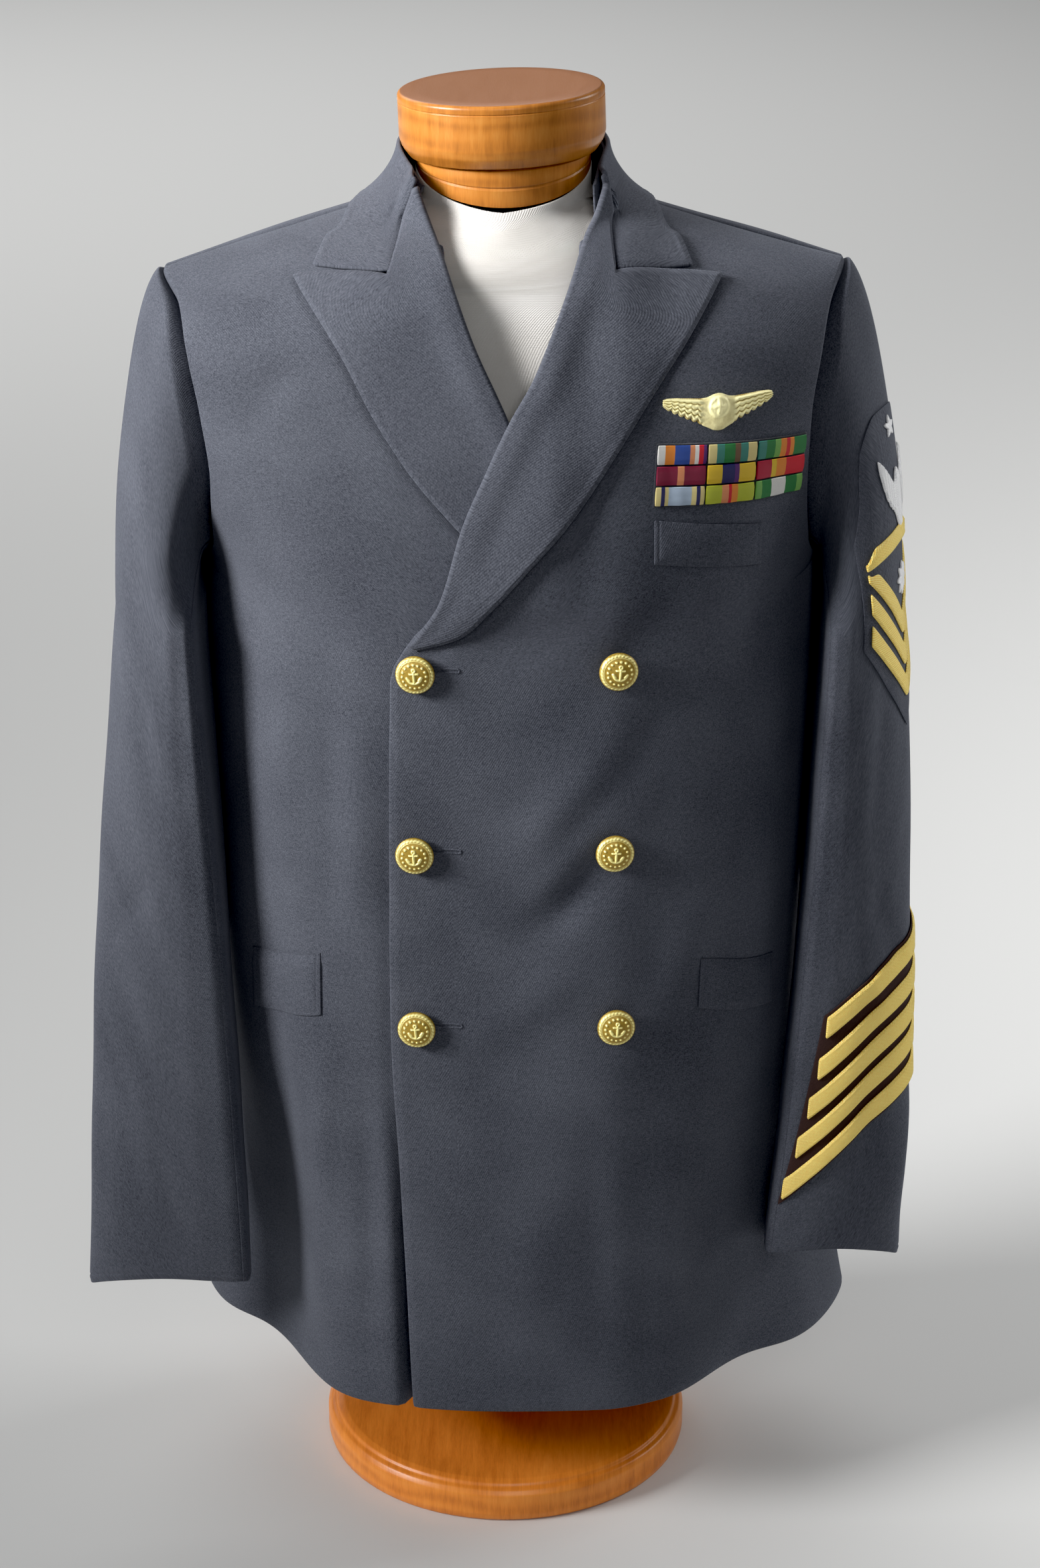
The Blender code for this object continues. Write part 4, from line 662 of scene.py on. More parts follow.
def innerEdge(side, front, r):
    if front:
        z = np.where(r <= 1, mix(body["hemZ"], body["underarmZ"], r),
                     mix(body["underarmZ"], body["neckZ"], np.sin(np.pi / 2 * np.clip(r - 1, 0, 1))))
        return angleOf(frontEdgeX(z, side), z), z
    i = np.where(r <= 1, r * cadRows["skirt"], cadRows["skirt"] + (r - 1) * cadRows["armhole"])
    seamRows = cadRows["skirt"] + cadRows["armhole"] - cadRows["backNeck"]
    share = np.clip((i - seamRows) / cadRows["backNeck"], 0, 1)
    z = np.where(i <= seamRows, mix(body["hemZ"], body["backNeckZ"], i / seamRows),
                 mix(body["backNeckZ"], body["neckZ"], share))
    x = signs[side] * body["neckX"] * np.sin(np.pi / 2 * share)
    return np.where(i <= seamRows, np.pi / 2, angleOf(x, z, False)), z


def panelSurface(side, front):
    r = rowShares()
    (a0, z0), (a1, z1) = innerEdge(side, front, r), outerEdge(side, front, r)
    u = spaced(panels["frontColumns"] if front else panels["backColumns"], 0.6)[None, :]
    x0, x1 = bodyX(a0, z0), bodyX(a1, z1)
    angle, z = mix(a0, a1, u), mix(z0, z1, u)
    for _ in range(4):
        z = mix(z0, z1, (bodyX(angle, z) - x0) / (x1 - x0))
    z[:, :1], z[:, -1:] = z0, z1
    return angle, z


lapels = dict(
    rows=130, columns=56,
    roll=0.0023,        # radius of the rolled fold
    belly=0.0012,       # how much the cloth swells beside the fold
    edgeThick=0.0008, neckMore=0.0017,
)
neckLifts = dict(low=0.755, full=0.785, near=0.065, far=0.095)
lapelRows = dict(
    left=table(
        "row* fold midX midZ edgeX edgeZ bow",
        (0, 587, -50, 585.8, -48.5, 585, 0), (0.08, 598.5, -34.5, 595.5, -24.8, 593.4, 0),
        (0.17, 618, -20, 614.5, -7, 610.7, 0), (0.28, 645, -6.5, 638.5, 11.6, 631.4, 0),
        (0.42, 680, 14, 671, 37.4, 661.3, 0), (0.56, 712, 31.5, 703.5, 60.2, 694.2, 0),
        (0.7, 748, 52, 738, 83.3, 728.5, 0), (0.84, 782, 63, 765, 102.2, 755.6, 0),
        (1, 828, 60.2, 783.6, 120.3, 780, 2)),
    right=table(
        "row* fold midX midZ edgeX edgeZ bow",
        (0, 650, 13, 640, 0, 628, 0), (0.2, 676, -4, 666, -25.4, 655.3, 0),
        (0.42, 711, -22, 696.5, -48.3, 681.8, 0), (0.64, 748, -41, 730.5, -69.7, 713, 0),
        (0.82, 782, -57, 764, -91.2, 750.7, 0), (1, 828, -62.8, 783.2, -115.5, 780, 2)),
)

# trough of the right front where the edge of the left front lies on it
fold = dict(deepLow=0.02, deepHigh=0.0014, low=0.06, high=0.34, top=0.46, topEnd=0.56, wide=0.005,
            under=0.0008)                  # how far in from the left front's edge it is deepest
lapelGap = dict(deep=0.0022, wide=0.0022)  # the front sinks beside the edge of its lapel
groove = dict(
    deepLow=0.026, deepTop=0.005,   # depth of the armhole seam at the underarm and the shoulder
    wideLow=0.015, wideTop=0.0032,  # how far its rounded shoulder reaches onto the body
    sleeveWide=0.7,                 # and onto the sleeve, for that
    backShare=0.25,                 # depth behind, for the front's
)


def grooveSize(w, front):
    share = np.clip(w, 0, 1) ** 2.4
    deep = mix(groove["deepLow"], groove["deepTop"], share) * mix(0.5, 1.0, ease(0.0, 0.15, w))
    wide = mix(groove["wideLow"], groove["wideTop"], share)
    behind = mix(groove["backShare"], 1.0, ease(0.85, 1.0, w))
    return deep * np.where(front, 1.0, behind), wide


def rollOff(distance, wide, sharp=2.0):
    # 0 on the surface, growing to 1 at the edge; at 2 it is a quarter circle.
    t = np.clip(distance / wide, 0, 1)
    return 1 - (1 - (1 - t) ** sharp) ** (1 / sharp)


def besideLapel(x, z, side):
    # How near a place is to the edge of the lapel: 1 on it, 0 away from it.
    edgeX, edgeZ = curves(lapelRows[side], "edgeX edgeZ", np.linspace(0.03, 0.985, 240), "row")
    away = np.hypot(x[..., None] - edgeX, z[..., None] - edgeZ).min(-1)
    return bell(away, lapelGap["wide"])


def noLift(x, z):
    return 0.0 * x


lifts = dict(left=leftFrontLift, right=noLift)
panelGrids = {}
edgeNormals = {}


def bodyPanel(side, front):
    angle, z = panelSurface(side, front)
    smooth = bodyPoint(angle, z)
    x = smooth[..., 0]
    normals = turned(gridNormals(smooth), vec(x, smooth[..., 1], 0.02))
    onRidge = np.abs(x[-1]) > body["neckX"] - 1e-4
    normals[-1] = np.where(onRidge[:, None], ridgeNormal(x[-1]), normals[-1])
    edgeNormals[side, front] = normals[panels["skirtRows"]:, -1]
    height = bodyCrease(x, z, front)
    if front:
        height = height + lifts[side](x, z) - lapelGap["deep"] * besideLapel(x, z, side)
    if front and side == "right":  # it sinks where the left front's edge lies over it
        sunk = mix(fold["deepLow"], fold["deepHigh"], ease(fold["low"], fold["high"], z))
        sunk = sunk * fade(fold["top"], fold["topEnd"], z)
        height = height - sunk * bell(x - frontEdgeX(z, "left") + fold["under"], fold["wide"])
    d, r = edgeDistances(smooth), rowShares()
    deep, wide = grooveSize(np.clip(r - 1, 0, 1), front)
    height = height - deep * ease(0.95, 1.0, r) * rollOff(d["last"], wide, 1.4)
    for seam in ["last", "top"] + ([] if front else ["first"]):
        height = height - cloth["seamDip"] * bell(d[seam], cloth["seamWide"])
    free = ["bottom", "first"] if front else ["bottom"]
    wall = cloth["wall"]
    for edge in free:
        height = height - 0.0006 * fade(0, 0.004, d[edge])
        wall = np.maximum(wall, cloth["wall"] + cloth["edgeExtra"] * fade(0.006, 0.012, d[edge]))
    name = ("front_" if front else "back_") + side
    panelGrids[name] = smooth + normals * along(height)
    shell(name, panelGrids[name], normals, wall, "wool", free)


def stitchLine(height, distance, at, deep=0.00035, wide=0.0006):
    # A shallow line of stitching at a distance from an edge.
    return height - deep * bell(distance - at, wide)


for side in ("left", "right"):
    bodyPanel(side, True)
    bodyPanel(side, False)


def treeOf(grids):
    points, faces = [], []
    for grid in grids:
        faces += (gridFaces(*grid.shape[:2]) + len(points)).tolist()
        points += grid.reshape(-1, 3).tolist()
    return BVHTree.FromPolygons(points, faces)


bodyTree = treeOf([grid[::2, ::2] for grid in panelGrids.values()])


def clearOf(grid, lift):
    # Moves points out until they are at least this far above the cloth under them.
    shape = grid.shape
    lifts = np.broadcast_to(lift, shape[:2]).reshape(-1)
    moved = []
    for point, need in zip(grid.reshape(-1, 3), lifts):
        point = Vector(point)
        for _ in range(3):
            place, normal, _, _ = bodyTree.find_nearest(point)
            outward = normal if normal.dot(Vector((place.x, place.y, 0.04))) > 0 else -normal
            height = (point - place).dot(outward)
            aside = (point - place - outward * height).length
            if height >= need or aside > 0.001:
                break
            point = point + outward * float(need - height)
        moved.append(tuple(point))
    return np.array(moved).reshape(shape)


def smoothed(grid, rounds):
    for _ in range(rounds):
        soft = grid.copy()
        soft[:, 1:-1] = (grid[:, :-2] + 2 * grid[:, 1:-1] + grid[:, 2:]) / 4
        grid = soft.copy()
        grid[1:-1] = (soft[:-2] + 2 * soft[1:-1] + soft[2:]) / 4
    return grid


print("fronts and backs made")

# lapels

def neckLift(x, z):
    lift = lapels["neckMore"] * ease(neckLifts["low"], neckLifts["full"], z)
    return lift * fade(neckLifts["near"], neckLifts["far"], np.abs(x))


def makeLapel(side):
    rows, lift = lapelRows[side], lifts[side]
    t = spaced(lapels["rows"], 0.5)[:, None]
    u = 2 * spaced(lapels["columns"], 0.75)[None, :]
    foldZ, midX, midZ, edgeX, edgeZ, bow = curves(rows, "fold midX midZ edgeX edgeZ bow", t, "row")
    foldX = curve(folds[side], "x", foldZ)
    reach = np.hypot(midX - foldX, midZ - foldZ)
    inset = np.minimum(lapels["roll"], 0.45 * reach)
    foldX, foldZ = mix(foldX, midX, inset / reach), mix(foldZ, midZ, inset / reach)
    part, rest = np.clip(u, 0, 1), np.clip(u - 1, 0, 1)
    x = np.where(u <= 1, mix(foldX, midX, part), mix(midX, edgeX, rest))
    z = np.where(u <= 1, mix(foldZ, midZ, part), mix(midZ, edgeZ, rest)) + bow * np.sin(np.pi * rest)
    d = edgeDistances(vec(x, 0, z))
    fromFold, fromEdge = d["first"], d["last"]
    height = lift(x, z) + cloth["layer"] + neckLift(x, z)
    if side == "left":  # its lower end lies flat, and above that it stands off
        proud = ease(0.02, 0.16, t) * fade(0.5, 0.78, t)
        height = height - 0.0012 * fade(0, 0.1, t) + 0.0024 * proud * ease(0.35, 1.6, u)
    width = fromFold + fromEdge
    swell = lapels["belly"] * np.minimum(1, width / 0.04)
    height = height + swell * bell(fromFold - 0.007, 0.008) * fade(0.77, 0.8, z)
    height = stitchLine(height, fromEdge, 0.0055, 0.0001)
    height = height + 0.0004 * np.sin(24 * z + 9 * x) * np.minimum(1, width / 0.03)
    height = height + 0.0006 * fade(0, 0.012, fromEdge) * np.sin(31 * z + 1.0)
    thickFold = height - lift(x, z) + cloth["wall"] - 0.0002
    wall = mix(cloth["wall"], np.minimum(thickFold, 2 * inset), fade(0.0008, 0.0045, fromFold))
    for edge in (fromEdge, d["top"]):
        wall = np.maximum(wall, cloth["wall"] + lapels["edgeThick"] * fade(0.004, 0.01, edge))
    normals = frontNormals(x, z)
    outer = onFront(x, z, height) - normals * along(0.0005 * fade(0, 0.0015, np.minimum(fromEdge, d["top"])))
    shell("lapel_" + side, outer, normals, wall, "wool", ("first", "last", "top"))


makeLapel("left")
makeLapel("right")
print("lapels made")

# collar

collar = dict(
    stations=180, rows=34, shift=0.0033, flatTo=0.06, freeFrom=0.15,
    topThick=0.0026, clear=0.0026, standInset=0.0027, standDrop=0.0035,
)
collarRows = table(
    "turn* rollX rollY rollZ midX midY midZ edgeX edgeZ",
    (0, 50.2, -40, 830.5, 62.8, -70, 785.5, 103.5, 783.2),
    (0.08, 52, -34, 832.5, 65.5, -56, 798.5, 97, 795), (0.2, 56, -20, 837, 69, -30, 816, 90, 802.2),
    (0.4, 60.5, 4, 842.5, 68.5, 5, 824, 85, 808.1), (0.6, 52.5, 34, 847, 59, 44, 827, 69, 799),
    (0.8, 31, 55, 850, 34.5, 66, 827, 39, 795), (1, 0, 62, 851, 0, 73, 827, 0, 793))
standRows = table(
    "turn* x y z",
    (0, 52, -42, 813), (0.4, 62, 4, 817.5), (0.7, 44, 48, 815), (1, 0, 65.5, 813))


def collarStation(turn, sign):
    roll, middle = (curves(collarRows, part, turn, "turn")
                    for part in ("rollX rollY rollZ", "midX midY midZ"))
    shift = collar["shift"] * fade(0, 0.3, turn)
    x = curve(collarRows, "edgeX", turn, "turn") * sign
    z = np.minimum(curve(collarRows, "edgeZ", turn, "turn"), shoulderZ(x))
    angle = angleOf(x, z, turn < 0.4)
    onRidge = (shoulderZ(x) - z < 1e-5)[:, None]
    normal = np.where(onRidge, ridgeNormal(x), bodyNormal(angle, z))
    edge = bodyPoint(angle, z) + normal * cloth["layer"]
    return vec(roll[0] * sign + shift, roll[1], roll[2]), vec(middle[0] * sign, middle[1], middle[2]), edge


def makeCollar():
    half = np.linspace(0, 1, collar["stations"] // 2 + 1)
    turn = np.concatenate((half, half[-2::-1]))
    sign = np.concatenate((-np.ones(len(half)), np.ones(len(half) - 1)))
    a, b, c = collarStation(turn, sign)
    t = spaced(collar["rows"], 0.7)[:, None, None]
    bent = a * (1 - t) * (1 - 2 * t) + b * 4 * t * (1 - t) + c * t * (2 * t - 1)
    straight = np.where(t < 0.5, mix(a, b, np.minimum(1, 2 * t)), mix(b, c, np.maximum(0, 2 * t - 1)))
    free = mix(straight, bent, ease(0.0, 0.25, turn)[None, :, None])
    x, z = free[..., 0], free[..., 2]
    flat = onFront(x, z, cloth["layer"] + neckLift(x, z))
    fall = mix(flat, free, ease(collar["flatTo"], collar["freeFrom"], turn)[None, :, None])
    fall = clearOf(fall, cloth["layer"] + neckLift(fall[..., 0], fall[..., 2]) * 0.8)
    ends = fall[:, (0, -1)].copy()
    fall = smoothed(fall, 3)
    fall[:, (0, -1)] = ends
    fall = clearOf(fall, collar["clear"])
    centre = np.array((0.0, 0.0, 0.8))
    normals = turned(gridNormals(fall), fall - centre)
    normals[:, 0], normals[:, -1] = normals[:, 1], normals[:, -2]
    d = edgeDistances(fall)
    fromEdge = np.minimum(np.minimum(d["first"], d["last"]), d["top"])
    sunk = 0.0006 * fade(0, 0.003, fromEdge) + 0.0003 * bell(fromEdge - 0.0055, 0.0006)
    wall = cloth["wall"] + lapels["edgeThick"] * fade(0.004, 0.01, fromEdge)
    wall = np.maximum(wall, mix(cloth["wall"], collar["topThick"], fade(0.001, 0.0035, d["bottom"])))
    shell("collar_fall", fall - normals * along(sunk), normals, wall, "wool")

    inward = unit(vec(-a[:, 0], -a[:, 1], 0))
    tops = a + inward * collar["standInset"] - np.array((0, 0, collar["standDrop"]))
    x, y, z = curves(standRows, "x y z", turn, "turn")
    stand = mix(tops, vec(x * sign, y, z), np.linspace(0, 1, 13)[:, None, None])
    normals = turned(gridNormals(stand), (stand - centre) * np.array((1, 1, 0)))
    shell("collar_stand", stand, normals, cloth["wall"], "wool", ("first", "last", "top"))


makeCollar()
print("collar made")

# sleeves

sleeves = dict(
    out=0.011, outTop=0.004, hang=0.046, hangTop=0.04, droop=0.35, droopLow=0.25,
    cuffSlant=0.42, cuffRise=0.008, cuffReach=0.12, power=1.75, seams=(143, 252),
    capRows=66, armRows=118, topColumns=88, underColumns=44,
    headSink=0.001,     # the sleeve starts this far inside the armhole edge
    seamDip=0.0002,
)
sleeveRows = dict(
    left=table(
        "z inner outer middle half",
        (165, 160.7, 244.5, -64, 25), (200, 163.6, 245.3, -60, 30), (260, 168.5, 247.3, -53, 35),
        (340, 174.3, 246, -43, 42), (420, 179.4, 243.8, -34, 50), (500, 182.8, 241.2, -22, 60),
        (575, 185.8, 233.8, -11, 69)),
    right=table(
        "z inner outer middle half",
        (141.5, 158.3, 259.2, -60, 24), (200, 159.5, 256.4, -56, 30), (260, 161.6, 253.7, -50, 35),
        (340, 165.1, 249.3, -43, 42), (420, 168.6, 243.1, -34, 50), (500, 173.7, 236, -22, 60),
        (575, 177.4, 229, -11, 69)),
)

# creases of the sleeves: degrees round the arm and height, from and to, half width, height
sleeveCreases = dict(
    left=table(
        "a0* z0 a1* z1 wide high",
        (60, 560, 85, 420, 12, -1.4), (20, 520, 60, 400, 13, 1), (80, 420, 30, 350, 10, -1.4),
        (100, 380, 50, 330, 10, 1.2), (85, 300, 40, 190, 12, -1), (300, 560, 340, 380, 14, -1.4),
        (250, 420, 300, 360, 10, -1.2), (0, 300, 20, 180, 14, 1.2), (75, 690, 95, 600, 10, -1.2)),
    right=table(
        "a0* z0 a1* z1 wide high",
        (70, 560, 95, 430, 12, -1.4), (40, 640, 70, 470, 14, 1.2), (95, 430, 30, 370, 10, -1.6),
        (60, 370, 95, 300, 11, 1.2), (88, 170, 60, 330, 10, 1.4), (30, 150, 35, 330, 13, -1.2),
        (300, 560, 340, 380, 14, -1.4), (250, 420, 300, 360, 10, -1.2), (55, 700, 85, 610, 12, -1.2),
        (128, 600, 118, 440, 10, -1)),
)


# front face of a sleeve: degrees round the arm from its outer side, place across and depth
frontFace = table(
    "turn* across* depth*",
    (0, 1, 0), (8, 0.989, 0.12), (20, 0.931, 0.29), (45, 0.673, 0.57), (70, 0.293, 0.8), (90, 0, 0.93),
    (105, -0.24, 1), (120, -0.5, 1.05), (134, -0.78, 1.06), (144, -0.95, 1), (152, -1.02, 0.84),
    (162, -1.03, 0.56), (171, -1.01, 0.28), (180, -1, 0))


def armPoint(side, phi, z):
    rows = sleeveRows[side]
    inner, outer, middle, half = curves(rows, "inner outer middle half", z)
    across, depth = (np.copysign(np.abs(v) ** (2 / sleeves["power"]), v) for v in (np.cos(phi), np.sin(phi)))
    turn = np.degrees(np.remainder(phi, 2 * np.pi))
    isFront = turn < 180
    across = np.where(isFront, curve(frontFace, "across", turn, "turn"), across)
    forward = np.where(isFront, curve(frontFace, "depth", turn, "turn"), depth)
    x = (inner + outer) / 2 + (outer - inner) / 2 * across
    low = rows["z"][0]
    tilt = sleeves["cuffSlant"] * half * depth + sleeves["cuffRise"] * (1 - across) / 2
    tilt = tilt * fade(low, low + sleeves["cuffReach"], z)
    return vec(signs[side] * x, middle - half * forward, z + tilt)


def edgeNormal(side, front, w):
    rows = edgeNormals[side, front]
    shares = np.linspace(0, 1, len(rows))
    return np.stack([np.interp(w, shares, rows[:, k]) for k in range(3)], -1)


def capPoint(side, phi, t):
    sign = signs[side]
    w = 1 - np.abs(np.remainder(phi + np.pi, 2 * np.pi) - np.pi) / np.pi
    x, z = armholePlace(w, side)
    start = bodyPoint(angleOf(sign * x, z, np.sin(phi) >= 0), z)
    end = armPoint(side, phi, sleeveRows[side]["z"][-1])
    above = np.cos(phi)
    leave = unit(vec(sign + 0 * above, 0 * above, -sleeves["droop"] - sleeves["droopLow"] * (1 - above)))
    start = start - leave * sleeves["headSink"]
    out = start + leave * along(sleeves["out"] + sleeves["outTop"] * above + sleeves["headSink"])
    down = end + vec(0 * above, 0 * above, sleeves["hang"] + sleeves["hangTop"] * above)
    isFront = np.sin(phi) >= 0
    deep, wide = grooveSize(w, isFront)
    sunk = np.where(isFront[..., None], edgeNormal(side, True, w), edgeNormal(side, False, w))
    t, s = along(t), 1 - along(t)
    point = start * s ** 3 + out * 3 * s * s * t + down * 3 * s * t * t + end * t ** 3
    away = np.linalg.norm(point - start, axis=-1)
    return point - sunk * along(deep * rollOff(away, wide * groove["sleeveWide"]))


def sleevePoint(side, phi, share):
    # The share runs from 0 at the armhole through 1 at the upper arm to 2 at the cuff.
    phi, share = pair(phi, share)
    rows = sleeveRows[side]
    cap = capPoint(side, phi, np.clip(share, 0, 1))
    arm = armPoint(side, phi, mix(rows["z"][-1], rows["z"][0], np.clip(share - 1, 0, 1)))
    return np.where((share <= 1)[..., None], cap, arm)


def sleeveNormal(side, phi, share):
    step = 0.01
    across = sleevePoint(side, phi + step, share) - sleevePoint(side, phi - step, share)
    downward = (sleevePoint(side, phi, np.minimum(2, share + step))
                - sleevePoint(side, phi, np.maximum(0, share - step)))
    return unit(np.cross(across, downward)) * signs[side]


def sleeveCrease(side, phi, z):
    # Creases of a sleeve, measured round the arm at about 55 mm from its middle.
    radius = 0.055
    height = np.zeros(np.broadcast(phi, z).shape)
    for a0, z0, a1, z1, wide, high in zip(*sleeveCreases[side].values()):
        turn = np.remainder(phi - math.radians(a0) + np.pi, 2 * np.pi) - np.pi
        run = math.radians(a1 - a0) * radius
        height += creaseLine(turn * radius, z - z0, run, z1 - z0, wide, high)
    wavy = 0.0004 * np.sin(38 * z + 2 * phi) * np.sin(23 * z - 3 * phi + 1.0)
    closing = 0.0034 * bell(np.degrees(np.remainder(phi, 2 * np.pi)) - 215, 24) * ease(0.36, 0.46, z)
    return height + wavy + closing


def makeSleeve(side):
    cap = spaced(sleeves["capRows"])[:-1] ** 1.7
    share = np.concatenate((cap, 1 + np.sin(np.linspace(0, np.pi / 2, sleeves["armRows"] + 1))))[:, None]
    low, high = (math.radians(a) for a in sleeves["seams"])
    for name, start, end, columns in (("sleeve_top_", high, low + 2 * math.pi, sleeves["topColumns"]),
                                      ("sleeve_under_", low, high, sleeves["underColumns"])):
        phi = mix(start, end, spaced(columns, 0.5))[None, :]
        smooth = sleevePoint(side, phi, share)
        normals = sleeveNormal(side, phi, share)
        d = edgeDistances(smooth)
        height = sleeveCrease(side, phi, smooth[..., 2]) * ease(0.0, 0.035, d["bottom"])
        for seam in ("first", "last"):
            height = height - sleeves["seamDip"] * bell(d[seam], cloth["seamWide"])
        height = stitchLine(height, d["top"], 0.0045) - 0.0006 * fade(0, 0.003, d["top"])
        wall = cloth["wall"] + cloth["edgeExtra"] * fade(0.01, 0.018, d["top"])
        shell(name + side, smooth + normals * along(height), normals, wall, "wool", ("top",))


makeSleeve("left")
makeSleeve("right")
print("sleeves made")


def shareAt(side, phi, z):
    low, high = np.zeros(np.shape(phi)), np.full(np.shape(phi), 2.0)
    for _ in range(24):
        middle = (low + high) / 2
        above = sleevePoint(side, phi, middle)[..., 2] > z
        low, high = np.where(above, middle, low), np.where(above, high, middle)
    return (low + high) / 2


def onSleeve(phi, z, lift):
    phi, z = pair(phi, z)
    share = shareAt("left", phi, z)
    normal = sleeveNormal("left", phi, share)
    point = sleevePoint("left", phi, share)
    return point + normal * along(lift + sleeveCrease("left", phi, point[..., 2])), normal


def armAngle(start, out, z):
    # Angle round the left sleeve at a distance from a first angle, towards the front.
    start, out, z = np.broadcast_arrays(np.radians(np.asarray(start, float)), out, z)
    angle, steps, turn = start.copy(), 16, 0.05
    level = np.minimum(z, sleeveRows["left"]["z"][-1])
    for _ in range(steps):
        chord = armPoint("left", angle + turn, level) - armPoint("left", angle - turn, level)
        angle = angle + out / steps / (np.linalg.norm(chord, axis=-1) / (2 * turn))
    return angle


# patches that lie on the front or on the left sleeve

def shareGrid(rows, columns, crowd=0.5):
    return np.broadcast_arrays(spaced(columns, crowd)[None, :], spaced(rows, crowd)[:, None])


def frontPatch(name, x, z, lift, thick, finish, uv=None):
    shell(name, onFront(x, z, lift + thick), frontNormals(x, z), thick, finish, allEdges, uv, 3)


def sleevePatch(name, phi, z, lift, thick, finish):
    outer, normals = onSleeve(phi, z, lift + thick)
    shell(name, outer, normals, thick, finish, rim=3)


welts = dict(clear=0.0004, thick=0.0012, rows=20, columns=60, swell=0.0008)
weltRows = dict(
    welt_breast=dict(x0=0.0838, x1=0.145, z0=0.632, z1=0.6566, tilt=-0.175),
    welt_hip_left=dict(x0=0.1152, x1=0.16, z0=0.3535, z1=0.386, tilt=-0.36),
    welt_hip_right=dict(x0=-0.1076, x1=-0.152, z0=0.3502, z1=0.3895, tilt=0.36),
)


def makeWelt(name, size):
    u, v = shareGrid(welts["rows"], welts["columns"])
    x = mix(size["x0"], size["x1"], u)
    z = mix(size["z0"], size["z1"], v) + size["tilt"] * (x - size["x0"])
    d = edgeDistances(vec(x, 0, z))
    fromSides = np.minimum(np.minimum(d["first"], d["last"]), d["bottom"])
    fromEdge = np.minimum(fromSides, d["top"])
    thick = welts["thick"] + welts["swell"] * ease(0, 0.008, fromEdge) - 0.0004 * fade(0, 0.002, fromEdge)
    thick = stitchLine(thick, fromSides, 0.0022, 0.0004)
    if name != "welt_breast":
        thick = thick - 0.0009 * fade(0, 0.01, d["top"])
    lift = np.where(x < -0.06, 0.0, leftFrontLift(x, z)) + welts["clear"]
    frontPatch(name, x, z, lift, thick, "wool")


for weltName, weltSize in weltRows.items():
    makeWelt(weltName, weltSize)

ribbons = dict(
    x=0.0828, z=0.6648, wide=0.0282, high=0.0114, gap=0.0008, tilt=-0.053,
    holder=0.001, clear=0.0004, thick=0.0011, pillow=0.0005,
)
# stripes of each ribbon from its left edge: where each starts, and its colour
cream, gold, red, orange = (0.95, 0.8, 0.34), (0.98, 0.66, 0.04), (0.8, 0.01, 0.03), (1.0, 0.32, 0.04)
green, paleGreen, navy, white = (0.02, 0.24, 0.05), (0.24, 0.55, 0.12), (0.02, 0.02, 0.14), (0.95, 0.94, 0.9)
blue, salmon, maroon, violet = (0.03, 0.09, 0.42), (0.95, 0.36, 0.16), (0.28, 0.008, 0.05), (0.12, 0.02, 0.2)
teal, brown, crimson, ice = (0.06, 0.3, 0.24), (0.22, 0.12, 0.06), (0.55, 0.01, 0.05), (0.55, 0.68, 0.85)
yellowGreen = (0.62, 0.68, 0.05)
ribbonStripes = dict(
    ribbon_1_1=[(0.0, white), (0.14, orange), (0.34, blue), (0.66, salmon), (0.76, white), (0.84, red),
                (0.94, violet)],
    ribbon_1_2=[(0.0, cream), (0.16, teal), (0.32, green), (0.54, brown), (0.66, teal), (0.82, cream)],
    ribbon_1_3=[(0.0, teal), (0.16, green), (0.34, paleGreen), (0.46, orange), (0.58, red),
                (0.66, orange), (0.74, green)],
    ribbon_2_1=[(0.0, maroon), (0.42, salmon), (0.56, maroon)],
    ribbon_2_2=[(0.0, gold), (0.3, navy), (0.56, violet), (0.66, gold)],
    ribbon_2_3=[(0.0, crimson), (0.32, gold), (0.42, orange), (0.62, red)],
    ribbon_3_1=[(0.0, cream), (0.1, navy), (0.18, cream), (0.26, ice), (0.74, cream),
                (0.84, navy), (0.92, cream)],
    ribbon_3_2=[(0.0, yellowGreen), (0.32, salmon), (0.46, red), (0.52, orange), (0.66, yellowGreen)],
    ribbon_3_3=[(0.0, paleGreen), (0.12, green), (0.34, white), (0.66, green), (0.88, paleGreen)],
)


def rackPlace(across, up):
    return ribbons["x"] + across - up * ribbons["tilt"], ribbons["z"] + up + across * ribbons["tilt"]


def makeRibbons():
    r = ribbons
    u, v = shareGrid(24, 60)
    x, z = rackPlace(u * 3 * r["wide"], v * 3 * r["high"])
    frontPatch("ribbon_holder", x, z, leftFrontLift(x, z) + r["clear"], r["holder"], "rackFelt")
    for name, stripes in ribbonStripes.items():
        row, column = int(name[7]), int(name[9])
        u, v = shareGrid(12, 28)
        across = (column - 1) * r["wide"] + mix(r["gap"], r["wide"] - r["gap"], u)
        up = (3 - row) * r["high"] + mix(r["gap"], r["high"] - r["gap"], v)
        x, z = rackPlace(across, up)
        edge = np.minimum(v, 1 - v) * r["high"]
        thick = r["thick"] - r["pillow"] * fade(0, 0.003, edge) + 0.00015 * np.sin(5 * np.pi * u) * row / 3
        lift = leftFrontLift(x, z) + r["clear"] + r["holder"] + 0.0003
        finishes[name] = (ribbonMaterial(name, stripes), "ribbon_silk_%d_%d" % (row, column))
        frontPatch(name, x, z, lift, thick, name, np.stack((u, v), -1))


makeRibbons()
print("welts and ribbons made")

